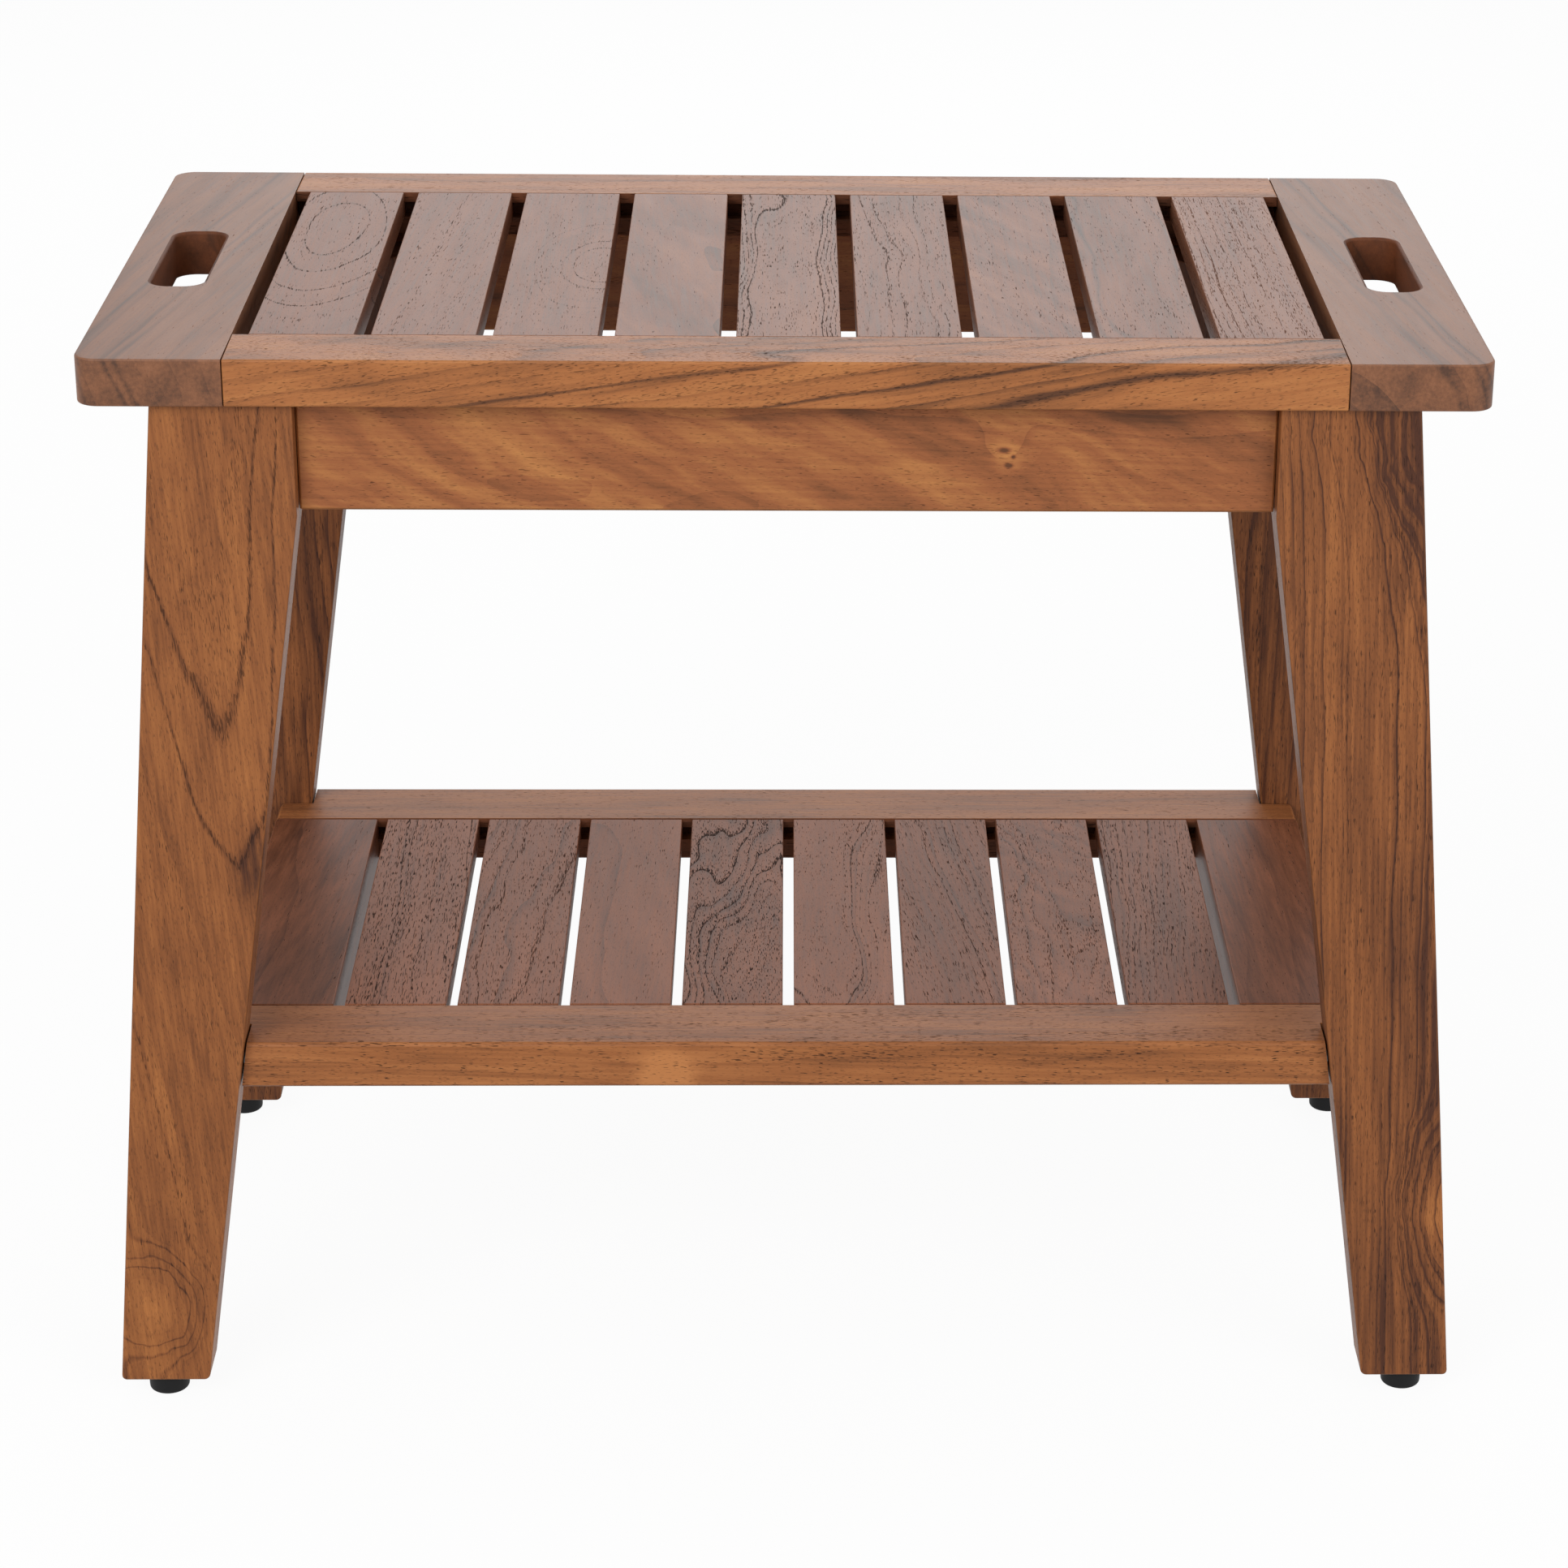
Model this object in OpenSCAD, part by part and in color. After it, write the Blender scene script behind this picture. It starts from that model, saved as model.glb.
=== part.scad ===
// Slatted teak bench with a shelf below: a framed seat with a hand-hold at each end,
// four splayed legs, an apron frame with corner blocks, and rubber feet.
// The origin is on the floor under the middle of the bench. The front faces -Y.

/* [Seat] */
// Width of the seat, over both end boards
seat_w = 610; // [540:5:760]
// Depth of the seat, front to rear
seat_d = 330; // [290:5:420]
// Height of the seat's top above the floor
seat_h = 512.5; // [440:0.5:600]
// Thickness of the seat's frame
seat_t = 21; // [19:0.5:28]
// Width of an end board
end_board_w = 63.1; // [58:0.1:80]
// Radius of the end boards' outer corners
end_corner_r = 10; // [4:0.5:16]
// Width of the seat's front and rear rails
seat_rail_w = 39.5; // [36:0.5:50]
// Number of seat slats
seat_slat_count = 9; // [6:1:12]
// Gap beside each seat slat
seat_slat_gap = 7.2; // [3:0.1:14]

/* [Hand-hold] */
// Width of the slot
slot_w = 24; // [20:1:28]
// Length of the slot
slot_len = 95; // [80:1:120]
// Radius of the slot's corners
slot_r = 9; // [4:0.5:9.5]
// Wood left between the slot and the bench's end
slot_edge = 16; // [14:0.5:20]
// Chamfer round the slot's rims
slot_ease = 2; // [1:0.5:3]

/* [Legs] */
// Distance from the seat's end in to the leg's outer top edge
leg_overhang = 30.8; // [20:0.1:38]
// Outward run of a leg from its top to its foot
leg_splay = 41.2; // [20:0.2:60]
// Width of a leg at its top
leg_top_w = 61.1; // [58:0.1:70]
// Width of a leg at its foot
leg_foot_w = 41.4; // [34:0.1:56]
// Thickness of a leg, front to rear
leg_t = 25.4; // [22:0.1:32]
// Distance from the seat's edge back to the leg's face
leg_setback = 5.6; // [0:0.1:10]
// Radius of the corners at a leg's foot
leg_foot_r = 2.5; // [1:0.5:5]

/* [Aprons] */
// Height of the aprons
apron_h = 51; // [46:0.5:70]
// Thickness of the front and rear aprons
apron_t = 19; // [17:0.5:24]
// Distance from a leg's face back to the apron's face
apron_setback = 8.5; // [4:0.1:10]
// Thickness of the side aprons
side_apron_t = 19; // [17:0.5:22]
// Length of a corner block along each apron
block_leg = 45; // [42:1:60]
// Height of a corner block
block_h = 44; // [36:1:45]

/* [Shelf] */
// Height of the shelf's top above the floor
shelf_h = 184.2; // [120:0.2:260]
// Thickness of the shelf's frame
shelf_t = 22.5; // [20:0.5:28]
// Distance from a leg's face back to the shelf's face
shelf_setback = 5.4; // [2:0.1:8]
// Width of the shelf's front and rear rails
shelf_rail_w = 42.2; // [38:0.1:52]
// Width of the shelf's two outer boards
shelf_end_w = 52.4; // [44:0.1:60]
// Number of inner shelf slats
shelf_slat_count = 8; // [5:1:10]
// Gap beside each inner shelf slat
shelf_slat_gap = 5.3; // [3:0.1:12]
// Gap between a leg and the notch round it
notch_gap = 1; // [0.5:0.1:1.5]
// Reach of the shelf's ears behind the legs
ear_reach = 16.1; // [10:0.1:24]
// Radius of the ears' corners
ear_r = 4; // [2:0.5:6]

/* [Tongues and grooves] */
// Wood above the groove in a seat rail
seat_lip = 5; // [4:0.1:6]
// Height of the groove in a seat rail
seat_groove_h = 7.4; // [6:0.1:8]
// Wood above the groove in a shelf rail
shelf_lip = 4.5; // [4:0.1:6]
// Height of the groove in a shelf rail
shelf_groove_h = 6.9; // [5:0.1:8]
// Depth of the grooves
groove_depth = 8.5; // [6:0.5:10]
// Room above a tongue in its groove
tongue_fit = 0.2; // [0.1:0.05:0.4]
// Room past the end of a tongue
tongue_end_gap = 0.6; // [0.3:0.1:1]
// Joint line between a slat's shoulder and its rail
shoulder_gap = 0.3; // [0.1:0.1:0.6]

/* [Edges] */
// Chamfer on the edges of the frame boards
board_ease = 1.3; // [0.5:0.1:2]
// Chamfer on the edges of the slats
slat_ease = 0.8; // [0.4:0.1:1.2]

/* [Feet] */
// Height of a foot
foot_h = 10; // [6:0.5:14]
// Diameter of a foot where it meets the leg
foot_top_d = 20.3; // [18:0.1:24]
// Diameter of a foot where it meets the floor
foot_base_d = 18.6; // [16:0.1:20]
// Bore in a foot round its screw's head
foot_bore_d = 9.6; // [9:0.1:11]
// Diameter of the steel washer inside a foot
washer_d = 13; // [12:0.5:14]
// Thickness of that washer
washer_t = 1.2; // [0.8:0.1:2]
// Rubber between the washer and the leg
washer_cover = 2.8; // [2:0.1:4]

/* [Dowels] */
// Diameter of the dowels
dowel_d = 8; // [6:0.5:8]
// Length of the dowels
dowel_len = 30; // [24:1:32]
// Part of a leg's top dowel that stands in the seat
seat_dowel_rise = 12; // [8:0.5:14]
// Distance from a leg's outer top edge to that dowel's axis
seat_dowel_edge = 10; // [8:0.5:10]
// Distance from the seat's edge to the first rail dowel's axis
rail_dowel_edge = 9; // [8:0.5:10]
// Spacing of the two dowels in a rail's end
rail_dowel_pitch = 14; // [12:0.5:14]

/* [Screws and bolts] */
// Diameter of the wood screws
screw_d = 4.5; // [4:0.1:5]
// Diameter of the wood screws' heads
screw_head_d = 8.6; // [8:0.1:9]
// Height of the wood screws' heads
screw_head_h = 2.8; // [2:0.1:3]
// Length of a corner block screw
block_screw_len = 28; // [24:1:30]
// Length of a seat screw
seat_screw_len = 38; // [30:1:42]
// Length of a foot screw
foot_screw_len = 26; // [20:1:32]
// Wood under a corner block screw's head
block_screw_grip = 14; // [12:0.5:16]
// Part of a seat screw that stands in the seat
seat_screw_rise = 13; // [8:0.5:14]
// Distance from the middle of an apron to its seat screws
seat_screw_x = 120; // [80:1:150]
// Diameter of the shelf bolts
bolt_d = 6; // [5:0.5:7]
// Diameter of the shelf bolts' heads
bolt_head_d = 10; // [9:0.5:11]
// Height of the shelf bolts' heads
bolt_head_h = 6; // [4:0.5:7]
// Length of a shelf bolt under its head
bolt_len = 70; // [66:1:80]
// Depth of the bolt's counterbore, plug included
bolt_sink = 14; // [12:0.5:18]
// Distance from the shelf's face to the bolts' axes
bolt_inset = 10; // [9:0.5:12]
// Diameter of the barrel nuts
nut_d = 10; // [9:0.5:11]
// Length of the barrel nuts
nut_len = 14; // [12:0.5:15]
// Distance from a bolt's tip back to its barrel nut's axis
nut_back = 8; // [7:0.5:10]
// Room round a screw, bolt or dowel in its hole
hole_fit = 0.1; // [0.05:0.05:0.3]

/* [Hidden] */
$fn = 48;

// Colours
seat_teak = "#a5826f";
rail_teak = "#b07d4b";
leg_teak = "#9c6238";
shelf_teak = "#8f6850";
hidden_teak = "#94623c";
dowel_beech = "#d2b68c";
rubber = "#1c1c1d";
steel = "#b9bbbd";

// Corners are numbered by side, -1 left and 1 right, and by end, -1 front and 1 rear
left = -1;
right = 1;
front = -1;
rear = 1;

// Seat
seat_z = seat_h - seat_t;
seat_slat_t = seat_lip + seat_groove_h;
seat_joint_x = seat_w / 2 - end_board_w;
seat_rail_inner_y = seat_d / 2 - seat_rail_w;
seat_slat_w = (2 * seat_joint_x - (seat_slat_count + 1) * seat_slat_gap) / seat_slat_count;
slot_x = seat_w / 2 - slot_edge - slot_w / 2;

// Legs, drawn on the right and mirrored to the left
leg_face_y = seat_d / 2 - leg_setback;
leg_back_y = leg_face_y - leg_t;
leg_mid_y = (leg_face_y + leg_back_y) / 2;
leg_out_top_x = seat_w / 2 - leg_overhang;
leg_in_top_x = leg_out_top_x - leg_top_w;
leg_out_foot_x = leg_out_top_x + leg_splay;
leg_in_foot_x = leg_out_foot_x - leg_foot_w;
knee_z = seat_z - apron_h;
foot_x = (leg_out_foot_x + leg_in_foot_x) / 2;
leg_dowel_x = leg_out_top_x - seat_dowel_edge;
leg_dowel_z = seat_z + seat_dowel_rise - dowel_len / 2;

// The leg's inner and outer edges at a height below the aprons
function leg_inner_x(z) =
    leg_in_top_x + (leg_in_foot_x - leg_in_top_x) * (knee_z - z) / (knee_z - foot_h);
function leg_outer_x(z) = leg_out_top_x + leg_splay * (seat_z - z) / (seat_z - foot_h);

// Aprons
apron_face_y = leg_face_y - apron_setback;
apron_back_y = apron_face_y - apron_t;
apron_mid_y = (apron_face_y + apron_back_y) / 2;
side_apron_mid_x = leg_in_top_x + side_apron_t / 2;

// Corner blocks, set a quarter of their spare height above the aprons' lower edge
block_z = knee_z + (apron_h - block_h) / 4;
block_mid_z = block_z + block_h / 2;
block_tip = 6;
block_screw_inset = 13;
block_screw_u = block_leg - block_screw_inset;

// Shelf
shelf_w = 2 * (leg_inner_x(shelf_h) + ear_reach);
shelf_face_y = leg_face_y - shelf_setback;
shelf_inner_y = shelf_face_y - shelf_rail_w;
shelf_slat_t = shelf_lip + shelf_groove_h;
shelf_field_w = shelf_w - 2 * shelf_end_w;
shelf_slat_w = (shelf_field_w - (shelf_slat_count + 1) * shelf_slat_gap) / shelf_slat_count;
notch_y = leg_back_y - notch_gap;

// Shelf bolts run across the bench, from the leg's outer side into the rail's end
bolt_y = shelf_face_y - bolt_inset;
bolt_z = shelf_h - shelf_t / 2;
bolt_seat_x = leg_outer_x(bolt_z) - bolt_sink;
bolt_tip_x = bolt_seat_x - bolt_len;
nut_x = bolt_tip_x + nut_back;

// Counterbores are this much wider than the heads that go down them
head_room = 1;
bolt_bore_d = bolt_head_d + head_room;
screw_bore_d = screw_head_d + head_room;

// Heights of four dowels or screws spread evenly over an apron
apron_step = apron_h / 5;

// A cut reaches this far past the surface that it opens
past = 1;

// Mirrors what is drawn at the right and the front to any corner
module at_corner(side, end) {
    mirror_if(side < 0, [1, 0, 0]) mirror_if(end > 0, [0, 1, 0]) children();
}

module mirror_if(wanted, normal) {
    if (wanted)
        mirror(normal) children();
    else
        children();
}

// The arc that rounds corner q, between an edge from p and an edge to s
function corner_arc(p, q, s, r, steps = 6) =
    let (
        u = (p - q) / norm(p - q),
        v = (s - q) / norm(s - q),
        half = acos(u * v) / 2,
        centre = q + (u + v) / norm(u + v) * r / sin(half),
        first = q + u * r / tan(half) - centre,
        last = q + v * r / tan(half) - centre,
        start = atan2(first.y, first.x),
        turn = (atan2(last.y, last.x) - start + 540) % 360 - 180
    )
    [for (i = [0:steps]) centre + r * [cos(start + turn * i / steps), sin(start + turn * i / steps)]];

// A rectangle with its four corners cut off at 45 degrees
module chamfered_rectangle(w, h, cut) {
    x = w / 2;
    y = h / 2;
    polygon([
        [x - cut, -y], [x, -y + cut], [x, y - cut], [x - cut, y],
        [-x + cut, y], [-x, y - cut], [-x, -y + cut], [-x + cut, -y]
    ]);
}

// A board with all its edges eased, centred on the origin with its top at z = 0
module eased_board(length, width, thickness, ease) {
    translate([0, 0, -thickness / 2])
        intersection() {
            linear_extrude(thickness, center = true)
                chamfered_rectangle(length, width, ease);
            rotate([90, 0, 0])
                linear_extrude(width, center = true)
                    chamfered_rectangle(length, thickness, ease);
            rotate([90, 0, 90])
                linear_extrude(length, center = true)
                    chamfered_rectangle(width, thickness, ease);
        }
}

// A rail with its front face at y = 0 and a groove along its rear edge, top at z = 0
module grooved_rail(length, width, thickness, lip, groove_h) {
    difference() {
        translate([0, width / 2, 0])
            eased_board(length, width, thickness, board_ease);
        translate([-length / 2 - past, width - groove_depth, -lip - groove_h])
            cube([length + 2 * past, groove_depth + past, groove_h]);
    }
}

// A slat that runs front to rear, top at z = 0, with a tongue at each end
module tongued_slat(width, span, thickness, lip, groove_h) {
    tongue_len = groove_depth - tongue_end_gap;
    tongue_w = width - 2 * slat_ease;
    tongue_t = groove_h - tongue_fit;
    rotate([0, 0, 90])
        eased_board(span - 2 * shoulder_gap, width, thickness, slat_ease);
    translate([-tongue_w / 2, -span / 2 - tongue_len, -lip - groove_h])
        cube([tongue_w, span + 2 * tongue_len, tongue_t]);
}

// A plain round bar along +X, +Y or +Z
module bar(diameter, length, axis) {
    turn = axis == "x" ? [0, 90, 0] : axis == "y" ? [-90, 0, 0] : [0, 0, 0];
    rotate(turn) cylinder(d = diameter, h = length);
}

// The hole that a bar of this size goes in
module bar_hole(diameter, length, axis) {
    bar(diameter + 2 * hole_fit, length, axis);
}

// A wooden dowel with chamfered ends, centred on the origin
module dowel(axis) {
    chamfer = 1;
    turn = axis == "x" ? [0, 90, 0] : axis == "y" ? [-90, 0, 0] : [0, 0, 0];
    r = dowel_d / 2;
    h = dowel_len / 2;
    rotate(turn)
        rotate_extrude()
            polygon([
                [0, -h], [r - chamfer, -h], [r, -h + chamfer],
                [r, h - chamfer], [r - chamfer, h], [0, h]
            ]);
}

module dowel_hole(axis) {
    length = dowel_len + 2 * hole_fit;
    shift = axis == "x" ? [-1, 0, 0] : axis == "y" ? [0, -1, 0] : [0, 0, -1];
    translate(shift * length / 2) bar_hole(dowel_d, length, axis);
}

// A pan-head wood screw that points up, with the underside of its head at z = 0
module screw(length) {
    r = screw_d / 2;
    head_r = screw_head_d / 2;
    socket_r = 1.6;
    socket_h = 1.6;
    chamfer = 1;
    tip_r = 0.4;
    rotate_extrude()
        polygon([
            [0, -screw_head_h + socket_h], [socket_r, -screw_head_h + socket_h],
            [socket_r, -screw_head_h], [head_r - chamfer, -screw_head_h],
            [head_r, -screw_head_h + chamfer], [head_r, 0], [r, 0],
            [r, length - screw_d], [tip_r, length], [0, length]
        ]);
}

module screw_hole(length) {
    bar_hole(screw_d, length + hole_fit, "z");
}

// Seat
module end_board(side) {
    ease = board_ease;
    color(seat_teak)
        at_corner(side, front)
            difference() {
                hull() {
                    translate([0, 0, seat_z + ease])
                        linear_extrude(seat_t - 2 * ease)
                            end_board_outline(0);
                    translate([0, 0, seat_z])
                        linear_extrude(seat_t)
                            end_board_outline(ease);
                }
                translate([slot_x, 0, seat_z - past])
                    linear_extrude(seat_t + 2 * past)
                        slot_outline(0);
                for (top = [0, 1])
                    translate([slot_x, 0, seat_z + top * (seat_t - slot_ease)])
                        slot_rim(top);
                for (y = [-1, 1]) {
                    for (i = [0, 1])
                        translate([seat_joint_x, y * rail_dowel_y(i), seat_z + seat_t / 2])
                            dowel_hole("x");
                    translate([leg_dowel_x, y * leg_mid_y, leg_dowel_z])
                        dowel_hole("z");
                }
            }
}

function rail_dowel_y(i) = seat_d / 2 - rail_dowel_edge - i * rail_dowel_pitch;

// The end board's outline, drawn in by inset on every side
module end_board_outline(inset) {
    inner = seat_joint_x + inset;
    outer = seat_w / 2 - inset;
    y = seat_d / 2 - inset;
    r = end_corner_r - inset;
    translate([inner, -y]) square([outer - inner - r, 2 * y]);
    translate([inner, -y + r]) square([outer - inner, 2 * y - 2 * r]);
    for (end = [-1, 1])
        translate([outer - r, end * (y - r)]) circle(r = r, $fn = 32);
}

// The hand-hold's outline, grown by grow on every side
module slot_outline(grow) {
    x = slot_w / 2 + grow;
    y = slot_len / 2 + grow;
    r = slot_r + grow;
    square([2 * x, 2 * (y - r)], center = true);
    square([2 * (x - r), 2 * y], center = true);
    for (side = [-1, 1])
        for (end = [-1, 1])
            translate([side * (x - r), end * (y - r)]) circle(r = r, $fn = 32);
}

// The wedge that eases one rim of the hand-hold, wide at the board's face
module slot_rim(top) {
    skin = 0.01;
    hull() {
        translate([0, 0, top ? 0 : slot_ease - skin])
            linear_extrude(skin) slot_outline(0);
        translate([0, 0, top ? slot_ease : -skin])
            linear_extrude(skin) slot_outline(slot_ease);
    }
}

module seat_rail(end) {
    color(rail_teak)
        at_corner(right, end)
            difference() {
                translate([0, -seat_d / 2, seat_h])
                    grooved_rail(2 * seat_joint_x, seat_rail_w, seat_t, seat_lip, seat_groove_h);
                for (x = [-1, 1])
                    for (i = [0, 1])
                        translate([x * seat_joint_x, -rail_dowel_y(i), seat_z + seat_t / 2])
                            dowel_hole("x");
                for (x = [-1, 1])
                    translate([x * seat_screw_x, -apron_mid_y, seat_z - past])
                        screw_hole(seat_screw_rise + past);
            }
}

module seat_slat(i) {
    x = -seat_joint_x + i * seat_slat_gap + (i - 0.5) * seat_slat_w;
    color(seat_teak)
        translate([x, 0, seat_h])
            tongued_slat(seat_slat_w, 2 * seat_rail_inner_y, seat_slat_t, seat_lip, seat_groove_h);
}

// Legs and aprons
module leg(side, end) {
    color(leg_teak)
        at_corner(side, end)
            difference() {
                translate([0, -leg_back_y, 0])
                    rotate([90, 0, 0])
                        linear_extrude(leg_t)
                            leg_outline();
                for (i = [1, 3])
                    translate([leg_in_top_x, -apron_mid_y, knee_z + i * apron_step])
                        dowel_hole("x");
                for (i = [2, 4])
                    translate([side_apron_mid_x, -leg_back_y, knee_z + i * apron_step])
                        dowel_hole("y");
                translate([leg_dowel_x, -leg_mid_y, leg_dowel_z])
                    dowel_hole("z");
                translate([foot_x, -leg_mid_y, foot_h - washer_cover])
                    screw_hole(foot_screw_len);
                translate([bolt_tip_x, -bolt_y, bolt_z])
                    bar_hole(bolt_d, bolt_len + past, "x");
                translate([bolt_seat_x, -bolt_y, bolt_z])
                    bar(bolt_bore_d, bolt_sink + 2 * past, "x");
            }
}

// A leg seen from the front: straight down to the knee, then tapered to the foot
module leg_outline() {
    top_in = [leg_in_top_x, seat_z];
    top_out = [leg_out_top_x, seat_z];
    foot_out = [leg_out_foot_x, foot_h];
    foot_in = [leg_in_foot_x, foot_h];
    knee = [leg_in_top_x, knee_z];
    polygon(concat(
        [top_in, top_out],
        corner_arc(top_out, foot_out, foot_in, leg_foot_r),
        corner_arc(foot_out, foot_in, knee, leg_foot_r),
        [knee]
    ));
}

// The front and rear aprons hang between the legs
module apron(end) {
    sink_h = apron_h - (seat_screw_len - seat_screw_rise);
    color(rail_teak)
        at_corner(right, end)
            difference() {
                translate([0, -apron_mid_y, seat_z])
                    eased_board(2 * leg_in_top_x, apron_t, apron_h, board_ease);
                for (x = [-1, 1])
                    for (i = [1, 3])
                        translate([x * leg_in_top_x, -apron_mid_y, knee_z + i * apron_step])
                            dowel_hole("x");
                for (x = [-1, 1]) {
                    translate([x * seat_screw_x, -apron_mid_y, knee_z - past])
                        bar(screw_bore_d, sink_h + past, "z");
                    translate([x * seat_screw_x, -apron_mid_y, knee_z])
                        screw_hole(apron_h + past);
                    translate([x * (leg_in_top_x - block_screw_u), -apron_back_y, block_mid_z])
                        rotate([90, 0, 0])
                            screw_hole(block_screw_len - block_screw_grip);
                }
            }
}

// The side aprons stand between the front and rear legs
module side_apron(side) {
    color(hidden_teak)
        at_corner(side, front)
            difference() {
                translate([side_apron_mid_x, 0, seat_z])
                    rotate([0, 0, 90])
                        eased_board(2 * leg_back_y, side_apron_t, apron_h, board_ease);
                for (y = [-1, 1]) {
                    for (i = [2, 4])
                        translate([side_apron_mid_x, y * leg_back_y, knee_z + i * apron_step])
                            dowel_hole("y");
                    translate([leg_in_top_x, y * (apron_back_y - block_screw_u), block_mid_z])
                        rotate([0, 90, 0])
                            screw_hole(block_screw_len - block_screw_grip);
                }
            }
}

// A corner block fills the inner corner of two aprons, with a screw into each
module corner_block(side, end) {
    far = block_leg;
    color(hidden_teak)
        at_corner(side, end)
            translate([leg_in_top_x, -apron_back_y, block_z])
                difference() {
                    linear_extrude(block_h)
                        polygon([[0, 0], [-far, 0], [-far, block_tip], [-block_tip, far], [0, far]]);
                    block_screw_cuts();
                    mirror([1, 1, 0]) block_screw_cuts();
                }
}

// The hole and counterbore of the screw that runs forward from the block's sloping face
module block_screw_cuts() {
    translate([-block_screw_u, 0, block_h / 2]) {
        translate([0, -past, 0]) bar_hole(screw_d, block_leg, "y");
        translate([0, block_screw_grip, 0]) bar(screw_bore_d, block_leg, "y");
    }
}

// Shelf
module shelf_rail(end) {
    color(shelf_teak)
        at_corner(right, end)
            difference() {
                translate([0, -shelf_face_y, shelf_h])
                    grooved_rail(shelf_w, shelf_rail_w, shelf_t, shelf_lip, shelf_groove_h);
                for (side = [left, right])
                    at_corner(side, front) {
                        leg_notch();
                        translate([bolt_tip_x, -bolt_y, bolt_z])
                            bar_hole(bolt_d, bolt_len, "x");
                        translate([nut_x, -bolt_y, shelf_h - shelf_t - past])
                            bar_hole(nut_d, shelf_t / 2 + nut_len / 2 + past, "z");
                    }
            }
}

// The room that a shelf rail leaves round the leg, with the corner behind it rounded
module leg_notch() {
    over = shelf_h + past;
    under = shelf_h - shelf_t - past;
    side_x = shelf_w / 2;
    translate([0, -notch_y, 0])
        rotate([90, 0, 0])
            linear_extrude(leg_t + shelf_setback)
                polygon([
                    [leg_inner_x(over) - notch_gap, over], [side_x + past, over],
                    [side_x + past, under], [leg_inner_x(under) - notch_gap, under]
                ]);
    translate([side_x - ear_r, -notch_y + ear_r, under])
        linear_extrude(over - under)
            difference() {
                translate([0, -ear_r - past]) square(ear_r + past);
                circle(r = ear_r);
            }
}

module shelf_end(side) {
    x = side * (shelf_w - shelf_end_w) / 2;
    color(shelf_teak)
        translate([x, 0, shelf_h])
            tongued_slat(shelf_end_w, 2 * shelf_inner_y, shelf_t, shelf_lip, shelf_groove_h);
}

module shelf_slat(i) {
    x = -shelf_field_w / 2 + i * shelf_slat_gap + (i - 0.5) * shelf_slat_w;
    color(shelf_teak)
        translate([x, 0, shelf_h])
            tongued_slat(shelf_slat_w, 2 * shelf_inner_y, shelf_slat_t, shelf_lip, shelf_groove_h);
}

// Feet
module foot(side, end) {
    top_r = foot_top_d / 2;
    base_r = foot_base_d / 2;
    bore_r = foot_bore_d / 2;
    shank_r = screw_d / 2 + hole_fit;
    round_r = 1.5;
    washer_top = foot_h - washer_cover;
    color(rubber)
        at_corner(side, end)
            translate([foot_x, -leg_mid_y, 0])
                rotate_extrude()
                    difference() {
                        polygon(concat(
                            [[bore_r, 0]],
                            corner_arc([bore_r, 0], [base_r, 0], [top_r, foot_h], round_r),
                            [[top_r, foot_h], [shank_r, foot_h], [shank_r, washer_top - washer_t],
                             [bore_r, washer_top - washer_t]]
                        ));
                        translate([0, washer_top - washer_t]) square([washer_d / 2, washer_t]);
                    }
}

module foot_washers() {
    color(steel)
        at_each_corner()
            translate([foot_x, -leg_mid_y, foot_h - washer_cover - washer_t])
                difference() {
                    cylinder(d = washer_d, h = washer_t);
                    translate([0, 0, -past]) bar_hole(screw_d, washer_t + 2 * past, "z");
                }
}

module at_each_corner() {
    for (side = [left, right])
        for (end = [front, rear])
            at_corner(side, end) children();
}

// Fasteners
module foot_screws() {
    color(steel)
        at_each_corner()
            translate([foot_x, -leg_mid_y, foot_h - washer_cover - washer_t])
                screw(foot_screw_len);
}

module block_screws() {
    color(steel)
        at_each_corner() {
            translate([leg_in_top_x - block_screw_u, -apron_back_y + block_screw_grip, block_mid_z])
                rotate([90, 0, 0]) screw(block_screw_len);
            translate([leg_in_top_x - block_screw_grip, -apron_back_y + block_screw_u, block_mid_z])
                rotate([0, 90, 0]) screw(block_screw_len);
        }
}

module seat_screws() {
    color(steel)
        for (x = [-seat_screw_x, seat_screw_x])
            for (y = [-apron_mid_y, apron_mid_y])
                translate([x, y, seat_z + seat_screw_rise - seat_screw_len])
                    screw(seat_screw_len);
}

// A cap-head bolt for each leg, with a six-sided socket in its head
module shelf_bolts() {
    socket_h = 3;
    socket_d = 5.6;
    color(steel)
        at_each_corner()
            translate([bolt_tip_x, -bolt_y, bolt_z]) {
                bar(bolt_d, bolt_len, "x");
                translate([bolt_len, 0, 0])
                    difference() {
                        bar(bolt_head_d, bolt_head_h, "x");
                        translate([bolt_head_h - socket_h, 0, 0])
                            rotate([0, 90, 0]) cylinder(d = socket_d, h = socket_h + past, $fn = 6);
                    }
            }
}

module shelf_barrel_nuts() {
    color(steel)
        at_each_corner()
            translate([nut_x, -bolt_y, bolt_z])
                difference() {
                    translate([0, 0, -nut_len / 2]) bar(nut_d, nut_len, "z");
                    translate([-nut_d, 0, 0]) bar_hole(bolt_d, 2 * nut_d, "x");
                }
}

// Wooden plugs close the counterbores flush with the legs' sloping sides
module bolt_plugs() {
    color(leg_teak)
        at_each_corner()
            intersection() {
                translate([bolt_seat_x + bolt_head_h, -bolt_y, bolt_z])
                    bar(bolt_bore_d - 2 * hole_fit, bolt_sink, "x");
                translate([0, -leg_back_y, 0])
                    rotate([90, 0, 0])
                        linear_extrude(leg_t)
                            leg_outline();
            }
}

module seat_rail_dowels() {
    color(dowel_beech)
        at_each_corner()
            for (i = [0, 1])
                translate([seat_joint_x, -rail_dowel_y(i), seat_z + seat_t / 2])
                    dowel("x");
}

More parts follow.
